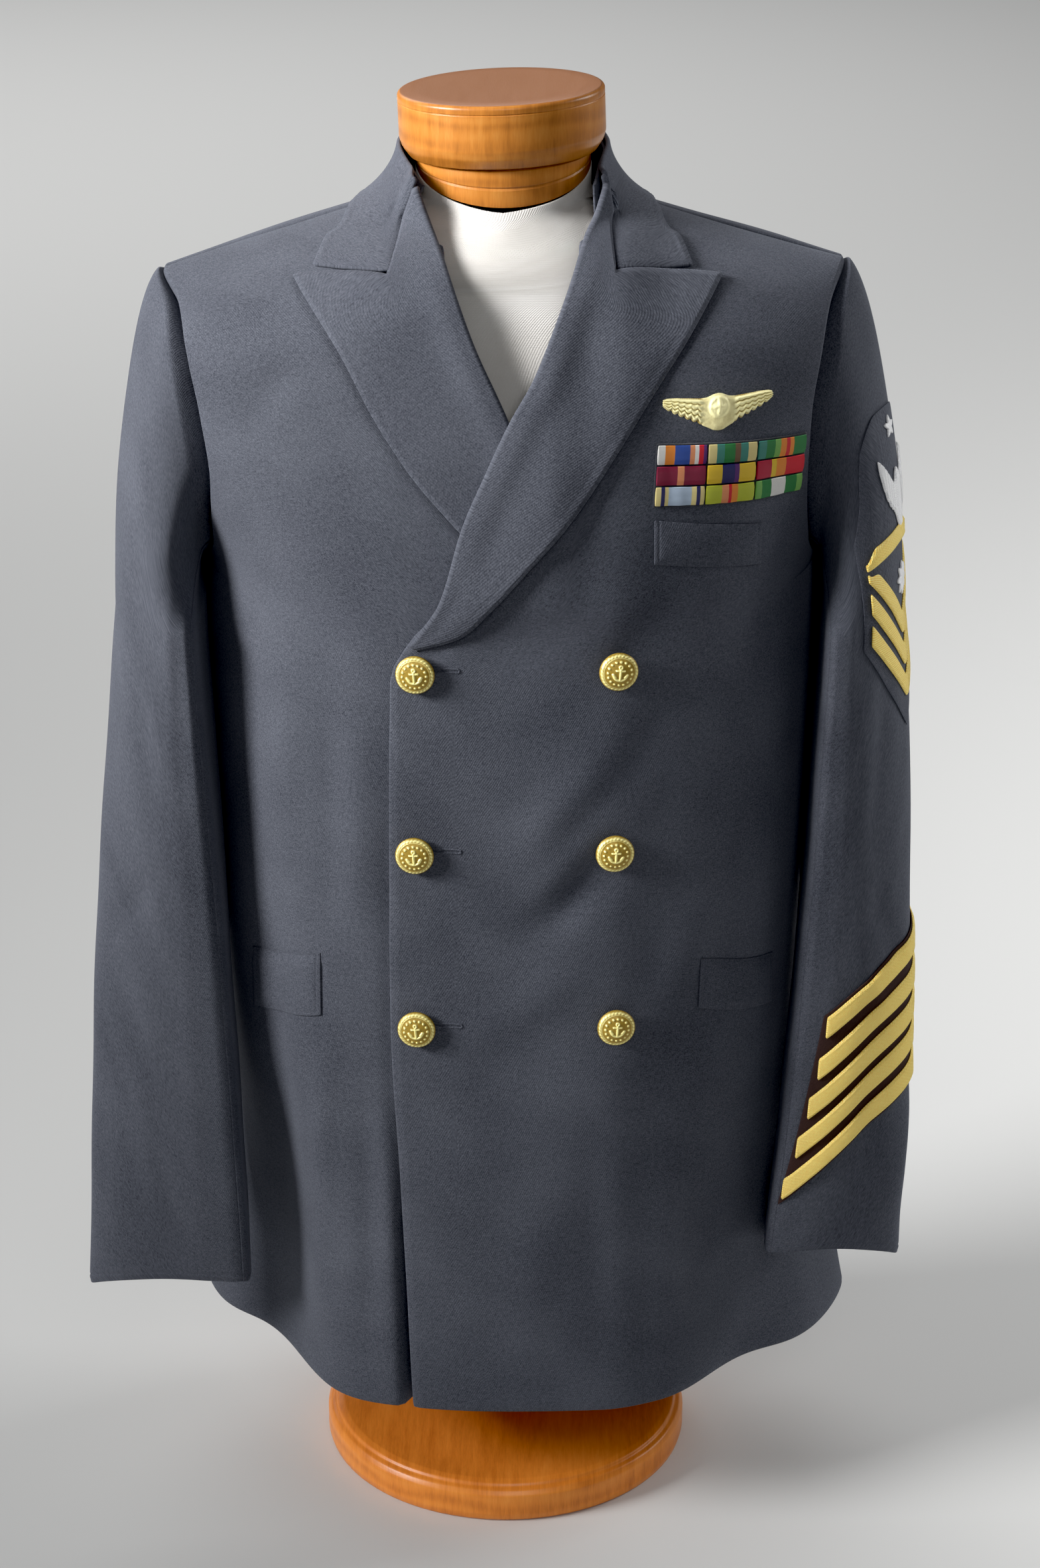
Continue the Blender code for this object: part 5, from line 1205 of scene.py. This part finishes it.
wings = dict(x=0.1184, z=0.7166, clear=0.0004, boss=0.005, bossHigh=0.001, bossUp=0.0006,
             pinRim=0.0007, feathers=4, featherDeep=0.0015,
             root=0.008, tooth=0.0036, toothDeep=0.0017, tipFrom=0.026, tip=0.03)
wingRows = table(
    "out top bottom thick",
    (0, 6.8, -11.4, 2.6), (2, 6.5, -11.1, 2.6), (4, 5.8, -10.3, 2.4), (5.8, 5.2, -9.5, 2.2),
    (8, 5, -8.6, 2), (12, 5.3, -7, 1.8), (16, 5.6, -5.3, 1.7), (20, 5.9, -3.6, 1.5),
    (24, 6.2, -1.8, 1.4), (28, 6.2, 0.4, 1.2), (30.2, 5.7, 2.2, 1.1))


def feathered(shape, reach):
    # Rounded feather ends: their waves outward from the root, and how far each notch is cut in.
    quill = ease(shape["root"], shape["root"] + 0.002, reach)
    wave = np.abs(np.sin(np.pi * (reach - shape["root"]) / shape["tooth"]))
    notch = shape["toothDeep"] * (1 - wave * quill) * quill
    return wave, notch * fade(shape["tipFrom"], shape["tip"], reach)


def makeWings():
    w = wings
    u, v = shareGrid(30, 130, 0.0)
    half = wingRows["out"][-1]
    out = mix(-half, half, u)
    reach = np.abs(out)
    low, high, thick = curves(wingRows, "bottom top thick", reach, "out")
    low = low + feathered(w, reach)[1]
    up = mix(low, high, v)
    x, z = w["x"] + out, w["z"] + up
    away = np.hypot(out, up - w["bossUp"])
    spoke = 0.0018 + 0.0026 * np.abs(np.cos(2 * np.arctan2(up - w["bossUp"], out))) ** 3
    dome = np.sqrt(np.maximum(0, 1 - (away / w["boss"]) ** 2)) + 0.9 * np.clip(1.3 - away / spoke, 0, 1)
    feather = np.abs(np.sin(np.pi * (v * w["feathers"] - 0.12 * reach / 0.03)))
    vane = 0.5 + 0.5 * np.sin(2 * np.pi * (reach * 0.8 + up) / 0.0011)
    relief = w["bossHigh"] * dome + 0.0006 * bell(away - w["boss"], w["pinRim"])
    plume = w["featherDeep"] * (feather ** 0.6 - 0.6) + 0.00012 * vane
    relief = relief + plume * ease(w["root"], 0.011, reach)
    edge = np.minimum(v, 1 - v) * (high - low)
    thick = np.maximum(0.0006, thick + relief - 0.0006 * fade(0, 0.0012, edge))
    raised = np.clip(0.4 + relief / 0.0013, 0, 1)
    frontPatch("wings_badge", x, z, leftFrontLift(x, z) + w["clear"], thick, "badgeGilt",
               np.stack((raised, v), -1))


makeWings()

# service stripes and rank badge on the left sleeve

stripeSizes = dict(sideSlope=0.5, length=0.115, high=0.0134, margin=0.0022, lift=0.0004, backing=0.0008,
                   gap=0.0002, thread=0.0012, padded=0.0008)
stripes = table(
    "angle* low steep*",
    (118.5, 324, 0.82), (122.5, 297, 0.87), (127.5, 271.2, 0.91), (133, 245, 0.96), (139, 217.2, 1))


def stripeClimb(angle, low, steep, distance):
    # Rise of a stripe after a distance round the arm from its front end.
    steps, climb = 12, 0.0
    for k in range(steps):
        at = np.degrees(armAngle(angle, -distance * (k + 0.5) / steps, low + 0.03))
        climb = climb + steep * mix(stripeSizes["sideSlope"], 1.0, ease(35, 100, at)) / steps
    return climb * distance


def laceThickness(v, high, base, padded):
    # Padded in the middle with a raised border along both edges.
    edge = np.minimum(v, 1 - v) * high
    swell = 0.7 * padded * np.sin(np.pi * np.clip(v, 0, 1)) ** 0.7
    return base + swell + 0.0003 * bell(edge - 0.0012, 0.0005) - 0.0003 * fade(0, 0.001, edge)


def makeStripes():
    s = stripeSizes
    u, v = shareGrid(60, 64, 0.0)
    distance = mix(-s["margin"], s["length"] + s["margin"], u)
    angle, low, steep = (mix(column[-1], column[0], v) for column in stripes.values())
    foot = low + mix(-s["margin"], s["high"] + s["margin"], v)
    z = foot + stripeClimb(angle, low, steep, distance)
    sleevePatch("stripe_backing", armAngle(angle, -distance, z), z, s["lift"], s["backing"], "stripeFelt")
    for number, (angle, low, steep) in enumerate(zip(*stripes.values()), 1):
        u, v = shareGrid(14, 90, 0.3)
        distance = s["length"] * u
        z = low + stripeClimb(angle, low, steep, distance) + s["high"] * v
        thick = laceThickness(v, s["high"], s["thread"], s["padded"])
        lift = s["lift"] + s["backing"] + s["gap"]
        sleevePatch("service_stripe_%d" % number, armAngle(angle, -distance, z), z, lift, thick, "gold")


rank = dict(angle=28.0, z=0.6, half=0.0425, slope=1.0, strip=0.0118, pitch=0.0188, top=0.017,
            arcFoot=0.0118, arcRise=0.008, arcStrip=0.0094, taper=0.01, endShare=0.35,
            lift=0.0004, backing=0.0006, gap=0.0002, thread=0.0012, padded=0.0006, domed=0.001)
rankBacking = table(
    "out low high",
    (0, -92, 98), (12.5, -77.7, 97), (30, -56.6, 80), (40, -44.5, 45), (48.5, -34.3, 26))
bird = dict(root=0.007, tooth=0.0027, toothDeep=0.0016, tipFrom=0.0185, tip=0.0205)
birdRows = table(
    "out top bottom",
    (0, 62.2, 29), (2.2, 60, 29.6), (4, 56, 31.8), (6.2, 54.5, 36.5), (9, 58, 39.5), (14, 64.5, 44),
    (18, 69, 52), (20.5, 71.2, 64))


def badgePlace(out, up):
    z = rank["z"] + up
    return armAngle(rank["angle"], out, z), z


def domedBadge(name, turns, radius, up, lift):
    # A small padded motif of silver thread, drawn round a place above the badge's middle.
    thick = rank["domed"]
    outline = np.stack((radius * np.cos(turns), up + radius * np.sin(turns)), -1)
    centre = outline.mean(0)
    rings = []
    for s in np.sin(np.linspace(0, np.pi / 2, 10))[1:]:
        ring = centre + (outline - centre) * s
        high = thick * (0.65 + 0.85 * math.sqrt(max(0.0, 1 - s ** 3)))
        rings.append(onSleeve(*badgePlace(*ring.T), lift + high)[0])
    rings.append(onSleeve(*badgePlace(*outline.T), lift)[0])
    ends = [onSleeve(*badgePlace(*centre[:, None]), lift + high)[0][0] for high in (thick * 1.5, 0.0)]
    closedRings(name, np.array(rings), ends, "silver")


def fullness(out):
    # The uppermost chevron and the arc are narrower towards their ends.
    return mix(rank["endShare"], 1.0, ease(0.0, rank["taper"], rank["half"] - np.abs(out)))


def makeRankBadge():
    r = rank
    u, v = shareGrid(70, 50, 0.0)
    half = rankBacking["out"][-1]
    out = mix(half, -half, u)
    low, high = curves(rankBacking, "low high", np.abs(out), "out")
    sleevePatch("rank_backing", *badgePlace(out, mix(low, high, v)), r["lift"], r["backing"], "rankWool")

    lift = r["lift"] + r["backing"] + r["gap"]
    u, v = shareGrid(12, 100, 0.2)
    out = mix(r["half"], -r["half"], u)
    thick = laceThickness(v, r["strip"], r["thread"], r["padded"])
    for number in range(3):
        soft = np.sqrt(out * out + 0.001 ** 2)
        low = r["top"] - number * r["pitch"] - r["slope"] * (r["half"] - soft) - r["strip"]
        up = low + r["strip"] * v * (fullness(out) if number == 0 else 1)
        sleevePatch("rank_chevron_%d" % (number + 1), *badgePlace(out, up), lift, thick, "gold")
    low = r["arcFoot"] + r["arcRise"] * np.cos(np.pi / 2 * out / r["half"])
    thick = laceThickness(v, r["arcStrip"], r["thread"], r["padded"])
    sleevePatch("rank_arc", *badgePlace(out, low + r["arcStrip"] * fullness(out) * v), lift, thick, "gold")

    u, v = shareGrid(30, 120, 0.0)
    half = birdRows["out"][-1]
    out = mix(half, -half, u)
    reach = np.abs(out)
    low, high = curves(birdRows, "bottom top", reach, "out")
    wave, notch = feathered(bird, reach)
    low = low + notch
    edge = np.minimum(v, 1 - v) * (high - low)
    relief = 0.0009 * bell(reach, 0.0035) + 0.0004 * wave ** 0.6 * ease(0.005, 0.008, reach)
    thick = r["thread"] + relief - 0.0005 * fade(0, 0.0012, edge)
    sleevePatch("rank_bird", *badgePlace(out, mix(low, high, v)), lift, thick, "silver")

    share = np.arange(40) / 40  # a star with five points
    radius = mix(0.0028, 0.0066, np.abs(1 - 2 * ((5 * share) % 1)) ** 1.3)
    domedBadge("rank_star", np.pi * (0.5 + 2 * share), radius, 0.0865, lift)
    turns = 2 * np.pi * np.arange(64) / 64
    domedBadge("rank_mark", turns, 0.0082 + 0.002 * np.cos(8 * turns), -0.003, lift)


makeStripes()
makeRankBadge()
print("badges made")

# buttons

buttons = dict(
    radius=0.0111, steps=120,
    rope=30, beads=16,  # strands round the rim, and beads round the anchor
    places=((-0.0485, 0.571), (0.0638, 0.5716), (-0.0503, 0.4608), (0.0631, 0.4612),
            (-0.0504, 0.3506), (0.0646, 0.3515)),
    leans=(4, -6, 3, -3, 5, -4), clear=0.0003,
)


def softProfile(points, radius, cuts=4):
    # Rounds each corner of a turned outline.
    points = np.array(points, float)
    result = [points[0]]
    for a, b, c in zip(points, points[1:], points[2:]):
        before, after = np.linalg.norm(b - a), np.linalg.norm(c - b)
        cut = min(radius, 0.45 * before, 0.45 * after)
        start, end = mix(b, a, cut / before), mix(b, c, cut / after)
        for t in np.linspace(0, 1, cuts + 1):
            result.append(start * (1 - t) ** 2 + b * 2 * t * (1 - t) + end * t * t)
    result.append(points[-1])
    return result


def revolved(name, profile, steps, finish, node=None, relief=None, matrix=None):
    # Solid of revolution from (radius, z) points that run from the top down.
    profile = np.array(profile, float)
    angles = 2 * np.pi * np.arange(steps) / steps
    radius, z = profile[:, :1] + 0 * angles, profile[:, 1:] + 0 * angles
    uv = np.stack((0.5 + 0 * z, z), -1)
    if relief is not None:
        smooth = z
        radius, z = relief(radius, z, np.broadcast_to(angles, radius.shape))
        uv[..., 0] = np.clip((z - smooth) / 0.0008, 0, 1)
    uv = np.concatenate((uv.reshape(-1, 2), [uv[0].mean(0), uv[-1].mean(0)]))
    rings = np.stack((radius * np.cos(angles), radius * np.sin(angles), z), -1)
    ends = [[0, 0, z[0].mean()], [0, 0, z[-1].mean()]]
    closedRings(name, rings, ends, finish, node, uv, matrix)


def capsule(x, y, ax, ay, bx, by):
    # Distance from a point to a short line.
    t = np.clip(((x - ax) * (bx - ax) + (y - ay) * (by - ay)) / ((bx - ax) ** 2 + (by - ay) ** 2), 0, 1)
    return np.hypot(x - ax - t * (bx - ax), y - ay - t * (by - ay))


def anchorRelief(x, y):
    # A plain anchor in a ring of beads, in shares of the button's radius.
    away = np.hypot(x, y)
    step = 2 * np.pi / buttons["beads"]
    turn = (np.arctan2(y, x) + step / 2) % step - step / 2
    distance = np.minimum.reduce([
        capsule(x, y, 0, -0.4, 0, 0.3) - 0.055,                                  # shank
        capsule(x, y, -0.24, 0.2, 0.24, 0.2) - 0.045,                            # stock
        np.abs(np.hypot(x, y - 0.41) - 0.085) - 0.035,                           # ring
        np.where(y < -0.02, np.abs(np.hypot(x, y - 0.02) - 0.42) - 0.055, 1.0),  # arms
        capsule(np.abs(x), y, 0.42, -0.06, 0.3, -0.2) - 0.07,                    # flukes
        np.hypot(away - 0.72, 0.72 * turn) - 0.055])
    return fade(-0.05, 0.05, distance)


def buttonRelief(radius, z, angle):
    share = radius / buttons["radius"]
    face = (z > 0.0036) * (share < 0.985)
    x, y = share * np.cos(angle), share * np.sin(angle)
    middle = 0.8 * anchorRelief(x / 0.86, y / 0.86) + 0.05 * np.sin(120 * x) * np.sin(120 * y)
    rope = bell(share - 0.9, 0.055)
    strand = 0.5 + 0.5 * np.cos(buttons["rope"] * angle + 26 * (share - 0.9))
    rim = 0.25 * bell(share - 0.8, 0.022) + (0.2 + 0.5 * strand) * rope
    return radius, z + 0.001 * face * (middle * (share < 0.76) + rim)


def faceMatrix(point, normal):
    zAxis = Vector(normal).normalized()
    xAxis = Vector((0, 0, 1)).cross(zAxis).normalized()
    matrix = Matrix((xAxis, zAxis.cross(xAxis), zAxis)).transposed().to_4x4()
    matrix.translation = Vector(point)
    return matrix


def makeButtons():
    size = buttons["radius"]
    share = np.linspace(0.02, 0.97, 46)
    dome = [(s * size, 0.0037 + 0.0043 * (1 - s ** 2) ** 0.75) for s in share]
    rim = [(size * 0.99, 0.0042), (size, 0.0036), (size, 0.003), (size * 0.985, 0.0025),
           (size * 0.93, 0.0021), (size * 0.3, 0.0019), (size * 0.22, 0.0016), (size * 0.22, 0.0001)]
    for number, (place, lean) in enumerate(zip(buttons["places"], buttons["leans"]), 1):
        x, z = (np.array([value]) for value in place)
        normal = frontNormals(x, z)[0]
        matrix = faceMatrix(onFront(x, z, leftFrontLift(x, z))[0] + normal * buttons["clear"], normal)
        turn = Matrix.Rotation(math.radians(lean), 4, "Z")
        revolved("button_%d" % number, dome + rim, buttons["steps"], "buttonGilt",
                 relief=buttonRelief, matrix=matrix @ turn)


holes = dict(levels=(0.5735, 0.4632, 0.353), start=-0.047, end=-0.0255, wide=0.0011, thread=0.00055,
             drop=0.001, clear=0.0001, stitches=48, steps=96)


def makeButtonholes():
    # Worked slits beside the buttons of the overlapping edge: a ridge of thread round a slot.
    h = holes
    for number, level in enumerate(h["levels"], 1):
        turn = 2 * np.pi * np.arange(h["steps"] + 1) / h["steps"]
        side = np.clip(np.cos(turn) * 6, -1, 1)
        x = mix(h["start"], h["end"], 0.5 + 0.5 * side) + h["wide"] * np.cos(turn)
        z = level + h["wide"] * np.sin(turn) - h["drop"] * (x - h["start"]) / (h["end"] - h["start"])
        around = 2 * np.pi * np.arange(13)[:, None] / 12
        bead = h["thread"] * (1 + 0.25 * np.sin(h["stitches"] * turn))
        out = np.cos(around) * bead
        grid = onFront(x + out * np.cos(turn), z + out * np.sin(turn),
                       leftFrontLift(x, z) + h["clear"] + np.sin(around) * bead)
        points, name = grid.reshape(-1, 3), "buttonhole_%d" % number
        mesh = meshFrom(name, points, gridFaces(*grid.shape[:2]).tolist(), points[:, (0, 2)])
        addPiece(name, mesh, "wool", "")


makeButtons()
makeButtonholes()
print("buttons made")

# the dress form: jersey cover, bottom board, turned neck, post and base

form = dict(
    bottom=0.15, wall=0.0016, rest=0.0005, round=0.05, power=2.2, slantFrom=0.765, slantTo=0.822,
    neckRadius=0.05, neckTop=0.8335, neckSlant=0.36, cover=0.0014,
    rows=100, columns=110,
)
formRows = table(
    "z half front back side*",
    (150, 124, 98, 98, 2.2), (200, 128, 104, 104, 2.2), (300, 140, 115, 103, 2.2),
    (420, 138, 113, 96, 2.2), (540, 148, 115, 101, 2.2), (640, 156, 113, 104, 2.3),
    (720, 158, 98, 95, 2.4), (770, 160, 79, 80, 2.4), (840, 160, 50, 60, 2.4))


def frontDip(y):
    # The neckline falls towards the front and is level behind.
    return 0.5 * (y - np.hypot(y, 0.012))


def formPoint(angle, z, slant):
    y = np.zeros(np.broadcast(angle, z).shape)
    c, s = np.cos(angle), np.sin(angle)
    sideX = np.copysign(body["neckX"], c)
    drop = form["wall"] + form["rest"]

    def ridge(x):
        return shoulderZ(x) - drop * np.hypot(1, shoulderSlope(x))

    for _ in range(6):
        level = z + slant * frontDip(y)
        half, front, back, side = curves(formRows, "half front back side", level)
        ridgeX = body["neckX"] + (ridge(sideX) - level) / shoulderSlope(sideX)
        half = np.maximum(np.minimum(half, ridgeX), form["neckRadius"])
        x = np.copysign(half * np.abs(c) ** (2 / side), c)
        reach = np.where(s < 0, front, back) * np.abs(s) ** (2 / form["power"])
        turn = np.clip((ridge(x) - level) / form["round"], 0, 1)
        reach = reach * np.sqrt(1 - (1 - turn) ** 2)
        neck = np.sqrt(np.maximum(0.0, form["neckRadius"] ** 2 - x * x))
        blend = ease(0.0, 0.03, neck) * ease(0.73, 0.78, level) * mix(0.026, 0.006, ease(0.78, 0.822, level))
        cone = neck * ease(0.7, 0.8, level)
        reach = 0.5 * (reach + cone + np.sqrt((reach - cone) ** 2 + blend ** 2))
        y = np.copysign(reach, s)
    return vec(x, y, level)


def makeForm():
    z = form["bottom"] + (form["neckTop"] - form["bottom"]) * spaced(form["rows"], 0.6)[:, None]
    angle = np.pi / 2 + 2 * np.pi * np.linspace(0, 1, form["columns"] + 1)[None, :]
    slant = form["neckSlant"] * ease(form["slantFrom"], form["slantTo"], z)
    smooth = formPoint(angle, z, slant)
    normals = turned(gridNormals(smooth), smooth - np.array((0, 0, 0.5)))
    normals[:, 0] = normals[:, -1] = unit(normals[:, 0] + normals[:, -1])
    x, up = smooth[..., 0], smooth[..., 2]
    front = (np.sin(angle) < 0) * ease(0.66, 0.76, up) * fade(0.815, 0.825, up)
    wrinkle = 0.0003 * np.sin(120 * x + 1.5 * np.sin(14 * up)) + 0.0006 * np.sin(60 * x + 22 * up)
    outer = smooth + normals * along(wrinkle * front)
    shell("formCover", outer, normals, form["cover"], "jersey", ("top", "bottom"), node="form_torso")

    # the board that closes the bottom, from its under side round the edge to its upper side
    levels = [(0.3, 0.1502), (0.7, 0.1502), (0.97, 0.1502), (1.0, 0.1512),
              (1.0, 0.157), (0.97, 0.158), (0.3, 0.158)]
    inset = formPoint(angle[0, :-1], np.full(form["columns"], 0.152), 0.0) * np.array((0.975, 0.975, 0))
    rings = np.array([inset * s + np.array((0, 0, z)) for s, z in levels])
    ends = [[0, 0, levels[0][1]], [0, 0, levels[-1][1]]]
    closedRings("formBoard", rings, ends, "board", "form_torso")


wood = dict(blockRadius=0.0585, blockTilt=math.radians(2.2), blockBottom=0.8385, postRadius=0.016,
            baseRadius=0.1156, plugInset=0.0004, steps=144)


def slanted(radius, share, angle):
    # The plug between the slanting neckline and the tilted block, by its share of the way up.
    x, y = radius * np.cos(angle), radius * np.sin(angle)
    bottom = form["neckTop"] + 0.0004 + form["neckSlant"] * frontDip(y)
    top = wood["blockBottom"] - 0.0003 + math.tan(wood["blockTilt"]) * x
    return radius, mix(bottom, top, share)


def makeWood():
    w = wood
    pivot = Vector((0, 0, w["blockBottom"]))
    tilt = Matrix.Translation(pivot) @ Matrix.Rotation(-w["blockTilt"], 4, "Y") @ Matrix.Translation(-pivot)
    r, p, b = w["blockRadius"], w["postRadius"], w["baseRadius"]
    n = form["neckRadius"] - w["plugInset"]
    block = [(0.004, 0.875), (r - 0.01, 0.875), (r - 0.0016, 0.8747), (r, 0.8732), (r, 0.87),
             (r - 0.0005, 0.8696), (r, 0.8692), (r, 0.849), (r - 0.0015, 0.8445), (r - 0.0055, 0.8386),
             (0.004, 0.8386)]
    plug = [(0.004, 1), (n - 0.002, 1), (n, 0.93), (n, 0.55), (n - 0.0007, 0.5),
            (n, 0.45), (n, 0.04), (n - 0.001, 0), (0.004, 0)]
    post = [(0.004, 0.1497), (p + 0.024, 0.1497), (p + 0.024, 0.1417), (p + 0.004, 0.1377), (p, 0.1277),
            (p, 0.042), (p + 0.01, 0.03), (p + 0.01, 0.0263), (0.004, 0.0263)]
    base = [(0.004, 0.026), (b - 0.01, 0.026), (b - 0.006, 0.025), (b - 0.005, 0.0232),
            (b - 0.0022, 0.0222), (b, 0.0188), (b, 0.006), (b - 0.0012, 0.0018), (b - 0.003, 0), (0.004, 0)]
    for name, profile, radius, finish, node, relief, matrix in (
            ("neckBlock", block, 0.0012, "blockWood", "form_neck_block", None, tilt),
            ("neckPlug", plug, 0.001, "blockWood", "form_neck_plug", slanted, None),
            ("standPost", post, 0.0012, "baseWood", "form_post", None, None),
            ("standBase", base, 0.001, "baseWood", "form_base", None, None)):
        revolved(name, softProfile(profile, radius), w["steps"], finish, node, relief, matrix)


makeForm()
makeWood()
print("form made")

# the cut of each sheet: width, length and area laid flat, what it lies on, and how it is held

cuts = dict(
    front_left=(0.4, 0.76, 0.232, "formCover", "draped"),
    front_right=(0.36, 0.76, 0.22, "formCover", "draped"),
    back_left=(0.27, 0.76, 0.166, "formCover", "draped"),
    back_right=(0.25, 0.76, 0.159, "formCover", "draped"),
    sleeve_top_left=(0.21, 0.64, 0.104, "front_left", "hung"),
    sleeve_top_right=(0.225, 0.65, 0.113, "front_right", "hung"),
    sleeve_under_left=(0.115, 0.53, 0.048, "back_left", "hung"),
    sleeve_under_right=(0.12, 0.55, 0.051, "back_right", "hung"),
    lapel_left=(0.11, 0.27, 0.0152, "front_left", "folded"),
    lapel_right=(0.11, 0.22, 0.0134, "front_right", "folded"),
    collar_fall=(0.4, 0.068, 0.0212, "back_left", "folded"),
    collar_stand=(0.34, 0.032, 0.0077, "back_left", "folded"),
    welt_breast=(0.064, 0.029, None, "front_left", "laid"),
    welt_hip_left=(0.062, 0.035, None, "front_left", "laid"),
    welt_hip_right=(0.065, 0.04, None, "front_right", "laid"),
    ribbon_holder=(0.1, 0.035, None, "front_left", "laid"),
    rank_backing=(0.1, 0.195, 0.0142, "sleeve_top_left", "laid"),
    stripe_backing=(0.13, 0.19, 0.0127, "sleeve_top_left", "laid"),
    rank_arc=(0.076, 0.0125, None, "rank_backing", "laid"),
    formCover=(0.92, 0.72, 0.552, "form_neck_plug", "stretched"),
)
for i in (1, 2, 3):
    cuts["rank_chevron_%d" % i] = (0.094, 0.013, None, "rank_backing", "laid")
    for j in (1, 2, 3):
        cuts["ribbon_%d_%d" % (i, j)] = (0.035, 0.0115, None, "ribbon_holder", "stretched")
for i in (1, 2, 3, 4, 5):
    cuts["service_stripe_%d" % i] = (0.132, 0.0145, None, "stripe_backing", "laid")
print("sheets declared:", len(cuts))

# floor, light and camera

studio = dict(
    floor=(0.65, 0.65, 0.64), size=20.0, air=(0.95, 0.97, 1.0), world=0.1, black=0.01,
    # each light: where it is, its size and power, what it looks at, and its spread in degrees
    lights=dict(
        keyLight=((-3.1, -1.15, 2.45), 1.5, 49.0, (-0.12, 0.0, 1.58), 49),
        fillLight=((0.3, -2.9, 2.1), 1.2, 20.0, (0, 0, 0.45), 180),
        topLight=((0.0, 0.9, 2.8), 2.0, 3.5, (0, 0, 0.45), 180),
        rimLight=((2.5, 0.9, 1.7), 1.2, 34.0, (0, 0, 0.45), 180),
        farLight=((-1.0, 4.2, 3.2), 4.5, 140.0, (0, 4.6, 0), 180),
    ),
)


def makeStudio():
    size = studio["size"]
    mesh = bpy.data.meshes.new("floor")
    corners = [(-size, -size, 0), (size, -size, 0), (size, size, 0), (-size, size, 0)]
    mesh.from_pydata(corners, [], [(0, 1, 2, 3)])
    paint = Maker("floorPaint").shade(Base_Color=(*studio["floor"], 1), Roughness=0.85)
    newObject("floor", mesh, paint)
    scene = bpy.context.scene
    for name, (at, wide, power, target, spread) in studio["lights"].items():
        data = bpy.data.lights.new(name, "AREA")
        data.shape, data.size, data.energy = "SQUARE", wide, power
        data.spread = math.radians(spread)
        light = bpy.data.objects.new(name, data)
        scene.collection.objects.link(light)
        light.location = at
        light.rotation_euler = (Vector(target) - Vector(at)).to_track_quat("-Z", "Y").to_euler()
    scene.world = bpy.data.worlds.new("studioAir")
    scene.world.use_nodes = True
    air = scene.world.node_tree.nodes["Background"]
    air.inputs["Color"].default_value = (*studio["air"], 1)
    air.inputs["Strength"].default_value = studio["world"]
    view = scene.view_settings
    view.view_transform = "Standard"
    view.use_curve_mapping = True
    view.curve_mapping.black_level = (studio["black"],) * 3
    view.curve_mapping.update()


viewpoint = dict(at=(0.0094, -1.951, 1.244), down=22.1, lens=79.6, sensor=36, reach=100)


def makeCamera():
    data = bpy.data.cameras.new("camera")
    data.lens, data.sensor_width = viewpoint["lens"], viewpoint["sensor"]
    data.clip_end = viewpoint["reach"]
    camera = bpy.data.objects.new("camera", data)
    bpy.context.scene.collection.objects.link(camera)
    camera.location = viewpoint["at"]
    camera.rotation_euler = (math.radians(90 - viewpoint["down"]), 0, 0)
    bpy.context.scene.camera = camera


makeStudio()
makeCamera()
bpy.context.view_layer.update()
